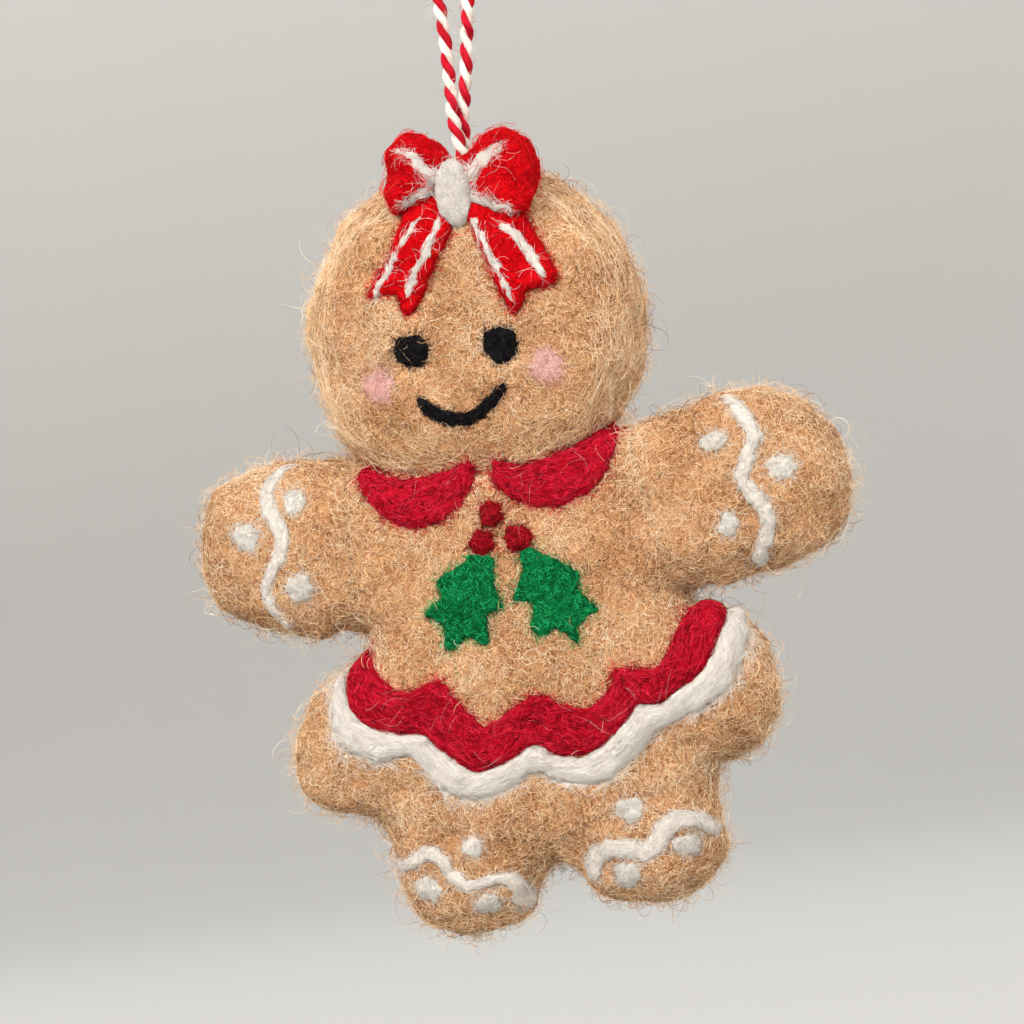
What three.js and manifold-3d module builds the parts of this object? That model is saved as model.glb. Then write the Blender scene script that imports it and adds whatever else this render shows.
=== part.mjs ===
// Needle-felted gingerbread-girl ornament on a doubled twine loop.
// Units: millimetres. +Z is up, the front faces -Y, +X is the viewer's right.
// The frame's origin is the inside of the loop's top, where a hook bears.

import * as THREE from "three";
import { mergeVertices } from "three/addons/utils/BufferGeometryUtils.js";
import Module from "manifold-3d";

const wasm = await Module();
wasm.setup();

// ---- driving dimensions -----------------------------------------------------
const HANG_HEIGHT = 110.5; // figure's own zero (mid-body) below the hang point
const GAP = 0.3;           // free space left between neighbouring pieces
const COAT = 3.0;          // thickness of the tan felt coat over its core wool
const DEPTH = { head: 11.0, torso: 9.2, arm: 8.6, leg: 8.8 }; // half thicknesses
const PUFF = 0.65;         // 1 = ellipse, smaller = boxier pillow section
const BACK_FLAT = 0.91;    // share of the half depth where the back is pressed flat
const PATCH_LIFT = 1.3;    // dyed wool patches: skirt, collar, bow tails
const SMALL_LIFT = 1.1;    // eyes, cheeks, mouth, icing, leaves
const STRIPE_LIFT = 0.7;   // white stripes on the bow
const BOW_DEPTH = { centre: -7.6, half: 4.0 };
const KNOT_DEPTH = { centre: -10.4, half: 2.8 };
const BERRY_HALF = 2.3;
const TWINE_D = 2.0;       // two-ply twine, each leg
const TWINE_SIDES = 8;
const PIVOT_Z = 65.8;      // where the doubled twine bends, level with the top of the bow
const NECK_W = 4.2;        // two legs of twine side by side
const NECK_BOTTOM = 53.0;  // where the doubled twine meets the buried knot
const NECK_BORE = 2.75;    // radius of the hole through the head's top
const KNOT = { z: 50.0, r: 2.7 }; // buried stopper knot
const LOOP_TOP = 111.5;    // centre line of the twine at the loop's top
const LOOP_BEND = 104.0;   // where the straight legs end and the round top begins
const LOOP_HALF = 5.5;     // half width of the loop at that height
const LEGS_TOUCH = 68.0;   // the legs lie together up to here
const LOOP_FOOT = 0.6;     // how far to one side the loop stands at its foot
const LOOP_LEAN = 2.6;     // sideways bow of the slack loop

// ---- outlines, [x, z] in the figure's own millimetres --------------------------
const BODY = {
  head: [[-26.2, 40.6], [-27.0, 37.2], [-26.7, 33.5], [-26.1, 26.4], [-24.5, 20.1], [-21.8, 15.6], [-16.3, 11.5], [-10.2, 9.3], [-3.4, 8.1], [3.9, 8.0], [10.4, 9.9], [15.6, 13.2], [20.1, 18.4], [22.7, 22.3], [24.6, 27.7], [25.2, 33.0], [24.2, 39.5], [21.8, 45.5], [18.1, 50.4], [13.7, 53.7], [7.8, 56.4], [0.6, 57.8], [-6.3, 57.5], [-11.8, 56.0], [-15.7, 54.1], [-20.3, 50.4], [-24.5, 43.6]],
  left_arm: [[-23.8, 15.6], [-29.0, 16.5], [-34.3, 16.9], [-39.0, 16.8], [-43.0, 15.6], [-46.1, 13.4], [-48.1, 9.9], [-49.1, 5.5], [-49.0, 1.7], [-47.7, -2.2], [-45.1, -5.3], [-41.2, -7.7], [-36.2, -9.6], [-30.9, -10.6], [-25.3, -10.9], [-19.8, -10.3], [-15.1, -5.6], [-13.2, 1.9], [-14.6, 8.4], [-18.5, 13.6]],
  right_arm: [[15.5, 13.3], [20.5, 14.1], [24.6, 15.8], [29.3, 16.5], [33.2, 17.1], [37.2, 17.5], [41.8, 17.2], [45.7, 15.7], [49.1, 12.5], [51.5, 8.0], [52.5, 3.3], [52.2, -0.8], [50.3, -5.0], [47.1, -7.9], [42.3, -9.5], [36.8, -10.2], [31.6, -11.3], [27.7, -11.8], [23.1, -11.8], [18.2, -10.5], [14.0, -6.7], [12.2, -0.2], [12.7, 7.5]],
  torso: [[-22.4, 14.2], [-25.4, 10.0], [-26.0, 0.7], [-25.6, -7.1], [-25.9, -10.8], [-27.9, -13.8], [-30.1, -15.8], [-32.0, -17.6], [-35.2, -20.7], [-37.9, -24.9], [-39.1, -29.4], [-38.7, -33.5], [-36.0, -36.5], [-31.5, -38.3], [-26.0, -39.4], [-19.9, -42.5], [-12.6, -46.1], [-5.0, -48.4], [-0.0, -49.0], [6.1, -48.3], [14.6, -44.9], [21.6, -40.5], [25.7, -38.0], [30.0, -38.0], [34.1, -35.0], [36.8, -31.2], [37.5, -27.1], [36.6, -22.4], [34.7, -18.0], [32.3, -14.5], [28.2, -12.4], [26.1, -10.8], [24.3, -3.6], [23.1, 5.9], [20.1, 13.2], [14.0, 14.6], [6.0, 15.2], [-3.0, 15.3], [-12.0, 15.2], [-18.0, 15.0]],
  left_leg: [[-25.1, -39.1], [-25.8, -43.2], [-25.5, -47.4], [-24.6, -51.6], [-22.6, -55.5], [-18.8, -58.1], [-14.7, -59.3], [-10.5, -58.8], [-7.0, -56.8], [-4.7, -53.5], [-2.7, -50.3], [-1.2, -47.3], [-0.0, -42.8], [-1.0, -38.0], [-7.7, -34.7], [-17.1, -34.1], [-22.8, -35.5]],
  right_leg: [[1.5, -45.3], [1.6, -48.8], [3.2, -52.1], [5.8, -55.6], [9.7, -57.5], [14.3, -58.3], [19.3, -57.0], [23.3, -54.5], [25.2, -50.7], [25.4, -46.6], [24.6, -42.3], [24.5, -38.1], [22.5, -34.4], [14.9, -32.5], [6.6, -34.4], [2.7, -39.3]],
};
const PATCH = {
  collar_left: [[-21.5, 14.9], [-20.0, 14.3], [-17.9, 13.0], [-14.5, 11.8], [-10.5, 11.6], [-6.3, 12.5], [-3.8, 13.1], [-2.8, 12.4], [-4.0, 10.7], [-5.5, 7.2], [-8.2, 5.0], [-11.7, 4.0], [-15.4, 4.6], [-18.2, 6.9], [-20.3, 9.7], [-21.4, 12.9]],
  collar_right: [[-0.5, 12.1], [0.8, 12.0], [4.3, 11.3], [8.8, 11.7], [13.1, 13.3], [15.7, 14.4], [17.0, 15.3], [19.1, 14.5], [19.1, 12.1], [17.6, 9.0], [14.8, 6.0], [10.8, 4.4], [6.5, 4.4], [2.8, 5.9], [0.2, 8.1], [-1.4, 10.2]],
  leaf_left: [[-5.0, -1.1], [-1.9, -2.1], [-2.2, -4.3], [-2.0, -7.5], [-1.4, -9.9], [-3.8, -10.6], [-4.3, -12.2], [-4.3, -14.6], [-5.1, -15.3], [-6.3, -14.6], [-7.7, -13.8], [-9.0, -14.7], [-11.3, -15.2], [-11.4, -13.1], [-11.5, -11.2], [-12.7, -10.2], [-14.0, -9.1], [-12.4, -7.7], [-11.0, -7.1], [-11.3, -5.1], [-10.7, -3.8], [-8.1, -2.7], [-6.5, -2.0]],
  leaf_right: [[3.6, -1.0], [1.9, -2.3], [2.0, -4.6], [1.2, -6.5], [0.1, -9.0], [2.6, -9.7], [2.8, -11.2], [2.1, -13.0], [2.5, -14.3], [4.3, -15.2], [5.7, -14.3], [7.3, -15.2], [8.9, -17.3], [9.6, -15.0], [10.6, -13.5], [13.0, -12.4], [11.8, -10.5], [10.4, -8.4], [11.1, -6.5], [9.1, -4.7], [6.3, -2.8]],
  skirt_band: [[-24.8, -13.5], [-23.9, -14.4], [-23.1, -16.4], [-21.6, -18.6], [-19.4, -20.0], [-16.8, -20.2], [-14.4, -19.7], [-12.8, -19.5], [-11.6, -21.1], [-9.7, -24.4], [-7.7, -27.0], [-6.8, -27.3], [-2.4, -25.4], [1.5, -23.7], [4.9, -25.5], [8.0, -26.7], [10.7, -26.2], [12.7, -24.1], [14.1, -21.7], [17.1, -21.9], [20.2, -22.1], [22.4, -20.3], [24.8, -15.8], [26.7, -13.6], [28.1, -12.9], [30.4, -13.6], [31.3, -16.2], [30.0, -19.4], [28.3, -22.6], [26.0, -24.9], [23.2, -26.1], [20.1, -27.7], [16.9, -27.4], [15.8, -28.6], [12.2, -31.6], [8.3, -33.6], [3.6, -33.4], [0.3, -31.4], [-3.6, -32.9], [-7.8, -34.1], [-9.3, -34.2], [-11.4, -33.0], [-14.1, -30.5], [-16.5, -28.0], [-17.7, -27.2], [-20.6, -26.8], [-23.5, -25.7], [-25.8, -24.3], [-27.5, -21.8], [-28.2, -18.6], [-28.0, -16.0]],
  skirt_trim: [[-28.3, -15.9], [-28.3, -18.6], [-27.6, -21.8], [-25.9, -24.3], [-23.5, -25.8], [-20.6, -26.9], [-17.7, -27.3], [-16.5, -28.1], [-14.1, -30.6], [-11.4, -33.0], [-9.3, -34.2], [-7.8, -34.2], [-3.6, -33.0], [0.3, -31.5], [3.6, -33.5], [8.3, -33.7], [12.2, -31.7], [15.8, -28.7], [16.8, -27.5], [20.1, -27.8], [23.2, -26.2], [26.0, -25.0], [28.2, -22.7], [30.0, -19.5], [31.4, -16.3], [31.6, -15.8], [32.7, -15.6], [33.8, -17.1], [34.0, -20.1], [32.7, -23.8], [30.2, -27.2], [26.1, -29.4], [22.0, -30.7], [18.5, -31.8], [17.1, -33.6], [14.2, -35.5], [10.2, -38.0], [6.1, -38.0], [2.6, -37.1], [-0.3, -35.4], [-4.7, -37.3], [-8.1, -38.1], [-11.2, -38.1], [-14.0, -36.8], [-16.2, -34.6], [-18.1, -31.8], [-19.2, -30.4], [-21.5, -30.0], [-23.4, -30.6], [-26.6, -29.5], [-29.1, -27.7], [-30.2, -25.2], [-30.6, -22.3], [-30.5, -19.4], [-29.8, -16.8]],
  tail_left: [[-2.3, 50.7], [-5.8, 51.2], [-10.4, 46.0], [-13.3, 42.9], [-15.0, 40.0], [-13.9, 39.6], [-10.6, 39.6], [-10.3, 37.9], [-9.4, 36.2], [-7.3, 37.3], [-4.6, 42.0], [-1.5, 46.3], [-0.3, 48.4]],
  tail_right: [[1.9, 48.9], [3.8, 44.3], [5.0, 39.0], [6.3, 34.9], [7.1, 33.8], [9.0, 35.5], [9.6, 37.2], [13.1, 37.4], [14.5, 38.0], [14.3, 40.4], [12.2, 45.4], [10.8, 48.4], [4.2, 50.4]],
  bow_left: [[-9.9, 59.4], [-9.8, 61.2], [-8.6, 62.8], [-6.7, 63.6], [-4.3, 63.4], [-2.2, 62.1], [-0.6, 60.6], [0.2, 59.5], [-0.0, 56.6], [-1.5, 54.5], [-2.9, 53.7], [-5.1, 53.0], [-8.2, 51.7], [-10.0, 51.8], [-10.4, 54.4], [-10.3, 56.9]],
  bow_right: [[1.5, 58.3], [2.1, 58.9], [3.8, 60.2], [5.5, 61.5], [8.0, 62.2], [10.5, 61.8], [12.4, 60.2], [13.3, 57.8], [13.6, 55.2], [12.9, 52.2], [11.3, 49.4], [9.0, 48.4], [6.6, 49.7], [4.0, 51.3], [1.6, 52.9], [0.8, 55.7]],
  knot: [[1.4, 58.3], [2.7, 57.7], [3.4, 55.8], [3.5, 53.2], [3.1, 50.7], [2.1, 49.2], [0.7, 48.6], [-0.7, 49.5], [-1.5, 51.6], [-1.8, 53.9], [-1.2, 56.5], [-0.0, 58.1]],
};
const STRIP = {
  mouth: { line: [[-9.0, 22.9], [-8.1, 21.8], [-7.0, 20.9], [-5.4, 19.9], [-3.7, 19.4], [-2.0, 19.4], [-0.5, 20.0], [0.9, 20.8], [2.0, 21.6], [2.9, 22.5], [3.7, 23.2]], half: [0.65, 0.77, 0.82, 0.83, 0.85, 0.85, 0.83, 0.77, 0.74, 0.71, 0.62] },
  left_arm_icing: { line: [[-32.4, 16.1], [-34.4, 14.8], [-35.7, 12.0], [-35.0, 8.9], [-33.8, 5.8], [-34.7, 2.9], [-36.7, 0.3], [-37.7, -2.2], [-37.2, -5.0], [-36.0, -7.7]], half: [0.54, 0.92, 1.15, 1.15, 1.15, 1.08, 1.0, 0.92, 0.77, 0.46] },
  right_arm_icing: { line: [[37.0, 16.4], [39.3, 13.6], [40.7, 10.5], [39.3, 7.3], [38.1, 4.5], [39.2, 1.7], [40.7, -0.8], [40.8, -3.8], [39.5, -6.2], [38.0, -8.5]], half: [0.77, 1.08, 1.15, 1.08, 1.15, 1.23, 1.31, 1.15, 1.08, 0.92] },
  left_leg_icing: { line: [[-24.7, -47.3], [-21.8, -46.7], [-19.7, -45.6], [-18.2, -45.6], [-16.8, -46.9], [-15.6, -49.0], [-14.0, -50.7], [-12.0, -51.2], [-9.7, -50.8], [-7.3, -51.3], [-6.1, -52.5], [-6.1, -55.0]], half: [0.69, 0.85, 0.85, 0.85, 0.85, 0.85, 0.85, 0.77, 0.77, 0.85, 1.0, 0.92] },
  right_leg_icing: { line: [[5.9, -52.0], [6.6, -50.0], [8.2, -48.9], [10.5, -48.5], [12.9, -49.2], [15.0, -49.5], [16.6, -48.5], [17.7, -46.9], [19.1, -45.7], [21.2, -45.6], [23.0, -46.3], [24.5, -47.8]], half: [0.92, 1.0, 1.0, 0.97, 1.0, 1.0, 1.05, 1.05, 1.0, 0.92, 0.85, 0.69] },
  loop_left_upper: { line: [[-1.2, 56.2], [-3.2, 58.1], [-4.7, 60.3], [-7.1, 61.7]], half: [0.77, 0.77, 0.74, 0.62] },
  loop_left_lower: { line: [[-1.8, 54.7], [-4.8, 53.9], [-7.6, 52.3]], half: [0.77, 0.77, 0.62] },
  loop_right_upper: { line: [[2.5, 56.1], [5.6, 58.1], [8.5, 59.9]], half: [0.77, 0.92, 0.92] },
  loop_right_lower: { line: [[2.8, 52.7], [5.7, 50.9], [8.6, 49.9], [9.4, 49.1]], half: [0.77, 0.77, 0.77, 0.62] },
  tail_left_outer: { line: [[-4.9, 50.3], [-8.7, 46.5], [-13.5, 40.2]], half: [0.4, 0.49, 0.62] },
  tail_left_inner: { line: [[-1.9, 49.8], [-5.3, 44.9], [-8.9, 39.1]], half: [0.49, 0.58, 0.62] },
  tail_right_inner: { line: [[3.2, 48.9], [5.2, 43.3], [7.4, 36.7]], half: [0.55, 0.55, 0.4] },
  tail_right_outer: { line: [[7.1, 47.0], [8.2, 46.7], [10.0, 43.8], [12.5, 39.1]], half: [0.54, 0.77, 0.77, 0.62] },
};
const DOT = {
  left_eye: [-9.1, 30.9, 2.60, 2.45],
  right_eye: [4.6, 29.8, 2.54, 2.80],
  left_cheek: [-15.5, 26.3, 2.44, 2.55],
  right_cheek: [10.9, 25.3, 2.66, 2.58],
  berry_top: [-1.3, 4.4, 2.08, 2.00],
  berry_left: [-3.4, 0.4, 1.99, 2.00],
  berry_right: [2.3, 0.3, 2.16, 2.08],
  left_arm_dot_upper: [-31.4, 10.8, 1.80, 2.08],
  left_arm_dot_outer: [-39.5, 6.4, 2.04, 2.08],
  left_arm_dot_lower: [-32.3, -2.3, 2.12, 2.15],
  right_arm_dot_upper: [34.4, 10.3, 2.12, 1.54],
  right_arm_dot_outer: [44.1, 5.1, 2.12, 2.00],
  right_arm_dot_lower: [34.7, -2.3, 1.60, 2.00],
  left_leg_dot_upper: [-11.8, -45.4, 1.49, 1.62],
  left_leg_dot_left: [-19.7, -50.9, 2.16, 2.00],
  left_leg_dot_right: [-11.0, -54.3, 1.80, 1.62],
  right_leg_dot_upper: [13.2, -43.2, 2.12, 2.00],
  right_leg_dot_right: [21.1, -49.7, 2.12, 1.69],
  right_leg_dot_left: [11.1, -52.9, 2.12, 2.08],
};

const WOOL = {
  tan: 0xc79d6c, core: 0xe6dcc6, scarlet: 0xd8121c, crimson: 0xb5122b, white: 0xeeebe4,
  green: 0x0b7f47, black: 0x17171b, pink: 0xe6b6b4, berry: 0x9d1022, twine: 0xe9dcd6,
};

// ---- helpers ---------------------------------------------------------------------
function solidOf(geometry) {
  const bare = geometry.clone();
  bare.deleteAttribute("normal");
  bare.deleteAttribute("uv");
  const welded = mergeVertices(bare, 1e-4);
  const position = welded.getAttribute("position");
  const index = welded.index.array;
  const faces = [];
  for (let i = 0; i < index.length; i += 3) {
    const [a, b, c] = [index[i], index[i + 1], index[i + 2]];
    if (a !== b && b !== c && c !== a) faces.push(a, b, c);
  }
  return new wasm.Manifold(new wasm.Mesh({
    numProp: 3,
    vertProperties: new Float32Array(position.array),
    triVerts: new Uint32Array(faces),
  }));
}

// One body only: a cut can shave off crumbs, and those are dropped.
function largest(solid) {
  return solid.decompose().sort((a, b) => b.volume() - a.volume())[0];
}

function geometryOf(solid) {
  const mesh = largest(solid).getMesh();
  const geometry = new THREE.BufferGeometry();
  geometry.setAttribute("position", new THREE.BufferAttribute(new Float32Array(mesh.vertProperties), 3));
  geometry.setIndex(new THREE.BufferAttribute(new Uint32Array(mesh.triVerts), 1));
  geometry.computeVertexNormals();
  return geometry;
}

// Distance from a centre to an outline along one direction.
function reach(outline, centre, angle) {
  const dx = Math.cos(angle), dz = Math.sin(angle);
  let far = 0;
  for (let i = 0; i < outline.length; i++) {
    const [ax, az] = outline[i], [bx, bz] = outline[(i + 1) % outline.length];
    const ex = bx - ax, ez = bz - az, wx = ax - centre[0], wz = az - centre[1];
    const det = ex * dz - ez * dx;
    if (Math.abs(det) < 1e-9) continue;
    const t = (ex * wz - ez * wx) / det;
    const s = (dx * wz - dz * wx) / det;
    if (t > 0 && s >= -1e-9 && s <= 1 + 1e-9) far = Math.max(far, t);
  }
  return far;
}

// A padded shape: a sphere stretched to a traced outline, with a pillow section.
class Pad {
  constructor(outline, centre, half, { y = 0, around = 26, over = 8, puff = PUFF, back = 1 } = {}) {
    Object.assign(this, { outline, centre, half, y, around, over, puff, back });
  }
  solid(grow = 0) {
    const ball = new THREE.SphereGeometry(1, this.around, this.over);
    const p = ball.getAttribute("position");
    for (let i = 0; i < p.count; i++) {
      const x = p.getX(i), y = p.getY(i), z = p.getZ(i);
      const ring = Math.hypot(x, z), angle = Math.atan2(z, x);
      const share = Math.pow(ring, this.puff);
      const r = ring < 1e-9 ? 0 : (reach(this.outline, this.centre, angle) + grow) * share;
      let depth = Math.sign(y) * Math.pow(Math.abs(y), this.puff);
      if (depth > this.back) depth = this.back;
      p.setXYZ(i, this.centre[0] + r * Math.cos(angle), this.y + depth * (this.half + grow), this.centre[1] + r * Math.sin(angle));
    }
    return solidOf(ball);
  }
}

// A column through the front half, with a traced outline.
function column(outline, from = 0, to = -24) {
  const shape = new THREE.Shape(outline.map(([x, z]) => new THREE.Vector2(x, z)));
  const block = new THREE.ExtrudeGeometry(shape, { depth: from - to, bevelEnabled: false });
  block.rotateX(Math.PI / 2);
  block.translate(0, from, 0);
  return solidOf(block);
}

// A patch of wool lying on a pad, standing proud by its own lift.
function patch(outline, pad, lift, rest = GAP) {
  return column(outline, pad.y).intersect(pad.solid(rest + lift)).subtract(pad.solid(rest));
}

function ellipse([x, z, a, b], sides = 12) {
  const ring = new THREE.EllipseCurve(x, z, a, b, 0, 2 * Math.PI, false, 0).getPoints(sides);
  return ring.slice(0, sides).map((v) => [v.x, v.y]);
}

// Outline of a strip along a centre line with its own half widths.
function strip({ line, half }, steps = 12) {
  const curve = new THREE.SplineCurve(line.map(([x, z]) => new THREE.Vector2(x, z)));
  const left = [], right = [];
  for (let i = 0; i <= steps; i++) {
    const t = i / steps;
    const p = curve.getPoint(t), d = curve.getTangent(t);
    const f = t * (half.length - 1), k = Math.min(Math.floor(f), half.length - 2);
    const w = half[k] + (half[k + 1] - half[k]) * (f - k);
    left.push([p.x - d.y * w, p.y + d.x * w]);
    right.push([p.x + d.y * w, p.y - d.x * w]);
  }
  return left.concat(right.reverse());
}

function rod(radius, bottom, top, x = 0, y = 0, sides = 12) {
  const bar = new THREE.CylinderGeometry(radius, radius, top - bottom, sides);
  bar.rotateX(Math.PI / 2);
  bar.translate(x, y, (bottom + top) / 2);
  return solidOf(bar);
}

function ball(radius, x, y, z, around = 10, over = 6) {
  const g = new THREE.SphereGeometry(radius, around, over);
  g.translate(x, y, z);
  return solidOf(g);
}

// ---- pads ------------------------------------------------------------------------
const head = new Pad(BODY.head, [-0.9, 33.5], DEPTH.head, { around: 28, over: 6 });
const torso = new Pad(BODY.torso, [-0.8, -18], DEPTH.torso, { around: 32, over: 6, back: BACK_FLAT });
const leftArm = new Pad(BODY.left_arm, [-31, 3], DEPTH.arm, { around: 22, over: 6 });
const rightArm = new Pad(BODY.right_arm, [33, 3], DEPTH.arm, { around: 22, over: 6 });
const leftLeg = new Pad(BODY.left_leg, [-13.5, -46], DEPTH.leg, { around: 20, over: 6 });
const rightLeg = new Pad(BODY.right_leg, [13.8, -45], DEPTH.leg, { around: 20, over: 6 });
const bowLeft = new Pad(PATCH.bow_left, [-5.2, 57.6], BOW_DEPTH.half, { y: BOW_DEPTH.centre, around: 18, over: 6, puff: 0.75 });
const bowRight = new Pad(PATCH.bow_right, [7.2, 55.4], BOW_DEPTH.half, { y: BOW_DEPTH.centre, around: 18, over: 6, puff: 0.75 });
const bowKnot = new Pad(PATCH.knot, [0.9, 53.5], KNOT_DEPTH.half, { y: KNOT_DEPTH.centre, around: 12, over: 6, puff: 0.8 });

const nodes = [];
function add(name, solid, colour, roughness = 0.95) {
  nodes.push([name, solid, colour, roughness]);
}

// Tan coats and their core wool. The head is whole; the torso, arms and legs
// are each seated against what they are felted to, and open there.
const headNear = head.solid(GAP);
const torsoNear = torso.solid(GAP);
const twineBore = rod(NECK_BORE, KNOT.z, 66);
const knotRoom = ball(KNOT.r + GAP + 0.3, 0, 0, KNOT.z);

add("head_cover", head.solid().subtract(head.solid(-COAT)).subtract(twineBore), WOOL.tan);
add("head_core", head.solid(-COAT - GAP).subtract(twineBore).subtract(knotRoom), WOOL.core);
add("torso_cover", torso.solid().subtract(torso.solid(-COAT)).subtract(headNear), WOOL.tan);
add("torso_core", torso.solid(-COAT - GAP).subtract(headNear), WOOL.core);
for (const [name, pad] of [["left_arm", leftArm], ["right_arm", rightArm], ["left_leg", leftLeg], ["right_leg", rightLeg]]) {
  add(`${name}_cover`, pad.solid().subtract(pad.solid(-COAT)).subtract(torsoNear).subtract(headNear), WOOL.tan);
  add(`${name}_core`, pad.solid(-COAT - GAP).subtract(torsoNear).subtract(headNear), WOOL.core);
}

// Face.
for (const side of ["left", "right"]) {
  add(`${side}_eye`, patch(ellipse(DOT[`${side}_eye`], 14), head, SMALL_LIFT), WOOL.black);
  add(`${side}_cheek`, patch(ellipse(DOT[`${side}_cheek`], 14), head, SMALL_LIFT), WOOL.pink);
}
add("mouth", patch(strip(STRIP.mouth, 9), head, SMALL_LIFT), WOOL.black);

// Bow: knot over two loops over two tails, white stripes on each.
const knotNear = bowKnot.solid(GAP);
const loopsNear = bowLeft.solid(GAP + STRIPE_LIFT + GAP).add(bowRight.solid(GAP + STRIPE_LIFT + GAP));
const twineRoom = rod(3.5, 56, 70).add(rod(NECK_BORE, KNOT.z, 70));
add("bow_knot", bowKnot.solid().subtract(headNear).subtract(twineRoom), WOOL.white);
for (const [side, pad] of [["left", bowLeft], ["right", bowRight]]) {
  const other = side === "left" ? null : bowLeft.solid(GAP);
  let loop = pad.solid().subtract(headNear).subtract(knotNear).subtract(twineRoom);
  if (other) loop = loop.subtract(other);
  add(`bow_${side}_loop`, loop, WOOL.scarlet);
  for (const row of ["upper", "lower"]) {
    const band = patch(strip(STRIP[`loop_${side}_${row}`], 5), pad, STRIPE_LIFT);
    add(`bow_${side}_stripe_${row}`, band.subtract(headNear).subtract(knotNear).subtract(twineRoom), WOOL.white);
  }
  const tail = patch(PATCH[`tail_${side}`], head, PATCH_LIFT);
  add(`bow_${side}_tail`, tail.subtract(knotNear).subtract(loopsNear), WOOL.scarlet);
  for (const row of ["outer", "inner"]) {
    const band = patch(strip(STRIP[`tail_${side}_${row}`], 5), head, STRIPE_LIFT, GAP + PATCH_LIFT + GAP);
    add(`bow_${side}_tail_stripe_${row}`, band.subtract(knotNear).subtract(loopsNear), WOOL.white);
  }
}

// Dress: collar, holly, scalloped skirt band and its white edge.
const armsNear = leftArm.solid(GAP).add(rightArm.solid(GAP));
const legsNear = leftLeg.solid(GAP).add(rightLeg.solid(GAP));
for (const side of ["left", "right"]) {
  add(`collar_${side}`, patch(PATCH[`collar_${side}`], torso, PATCH_LIFT + 0.3).subtract(headNear).subtract(armsNear), WOOL.crimson);
}
let berriesNear = null;
for (const which of ["top", "left", "right"]) {
  const d = DOT[`berry_${which}`];
  const bead = new Pad(ellipse(d, 24), [d[0], d[1]], BERRY_HALF, { y: -DEPTH.torso, around: 10, over: 6, puff: 1 });
  add(`berry_${which}`, bead.solid().subtract(torsoNear), WOOL.berry);
  const near = bead.solid(GAP);
  berriesNear = berriesNear ? berriesNear.add(near) : near;
}
for (const side of ["left", "right"]) {
  add(`holly_leaf_${side}`, patch(PATCH[`leaf_${side}`], torso, SMALL_LIFT).subtract(berriesNear), WOOL.green);
}
// The red band and the white edge share a traced line; the edge is trimmed back by the gap.
const band = patch(PATCH.skirt_band, torso, PATCH_LIFT).subtract(armsNear);
const bandWide = PATCH.skirt_band.map(([x, z], i, all) => {
  const [ax, az] = all[(i + all.length - 1) % all.length], [bx, bz] = all[(i + 1) % all.length];
  const n = new THREE.Vector2(bz - az, ax - bx).normalize().multiplyScalar(-GAP);
  return [x + n.x, z + n.y];
});
add("skirt_band", band, WOOL.crimson);
add("skirt_trim", patch(PATCH.skirt_trim, torso, PATCH_LIFT + 0.4).subtract(column(bandWide)).subtract(armsNear).subtract(legsNear), WOOL.white);

// Icing lines and dots on the arms and legs.
for (const [name, pad, dots] of [
  ["left_arm", leftArm, ["upper", "outer", "lower"]], ["right_arm", rightArm, ["upper", "outer", "lower"]],
  ["left_leg", leftLeg, ["upper", "left", "right"]], ["right_leg", rightLeg, ["upper", "right", "left"]],
]) {
  add(`${name}_icing`, patch(strip(STRIP[`${name}_icing`], 11), pad, SMALL_LIFT).subtract(torsoNear), WOOL.white);
  for (const dot of dots) {
    const plate = patch(ellipse(DOT[`${name}_dot_${dot}`], 12), pad, SMALL_LIFT);
    add(`${name}_dot_${dot}`, plate.subtract(torsoNear), WOOL.white);
  }
}

// Hanger: a loop, the doubled neck that bends under it, and a knot buried in the head.
const R = TWINE_D / 2;
const lean = (z) => {
  const u = (z - PIVOT_Z) / (LOOP_TOP - PIVOT_Z);
  return LOOP_FOOT * (1 - u * u) + LOOP_LEAN * Math.sin(Math.PI * u);
};
const spread = (z) => {
  const near = R + 0.12;
  if (z <= LEGS_TOUCH) return near;
  const t = (z - LEGS_TOUCH) / (LOOP_BEND - LEGS_TOUCH);
  return near + (LOOP_HALF - near) * t * (0.35 + 0.65 * t);
};
const path = [];
const legBottom = PIVOT_Z + R + 0.4;
for (const side of [-1, 1]) {
  const leg = [];
  for (let i = 0; i <= 10; i++) {
    const z = legBottom + ((LOOP_BEND - legBottom) * i) / 10;
    leg.push(new THREE.Vector3(lean(z) + side * spread(z), 0, z));
  }
  if (side === -1) path.push(...leg);
  else {
    for (let i = 1; i < 8; i++) {
      const a = Math.PI * (1 - i / 8);
      const z = LOOP_BEND + (LOOP_TOP - LOOP_BEND) * Math.sin(a);
      path.push(new THREE.Vector3(lean(z) + LOOP_HALF * Math.cos(a), 0, z));
    }
    path.push(...leg.reverse());
  }
}
const section = new THREE.Shape(
  Array.from({ length: TWINE_SIDES }, (_, i) => new THREE.Vector2(R * Math.cos((2 * Math.PI * i) / TWINE_SIDES), R * Math.sin((2 * Math.PI * i) / TWINE_SIDES))),
);
const loopCurve = new THREE.CatmullRomCurve3(path);
add("hanger_loop", solidOf(new THREE.ExtrudeGeometry(section, { steps: 26, bevelEnabled: false, extrudePath: loopCurve })), WOOL.twine);

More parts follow.
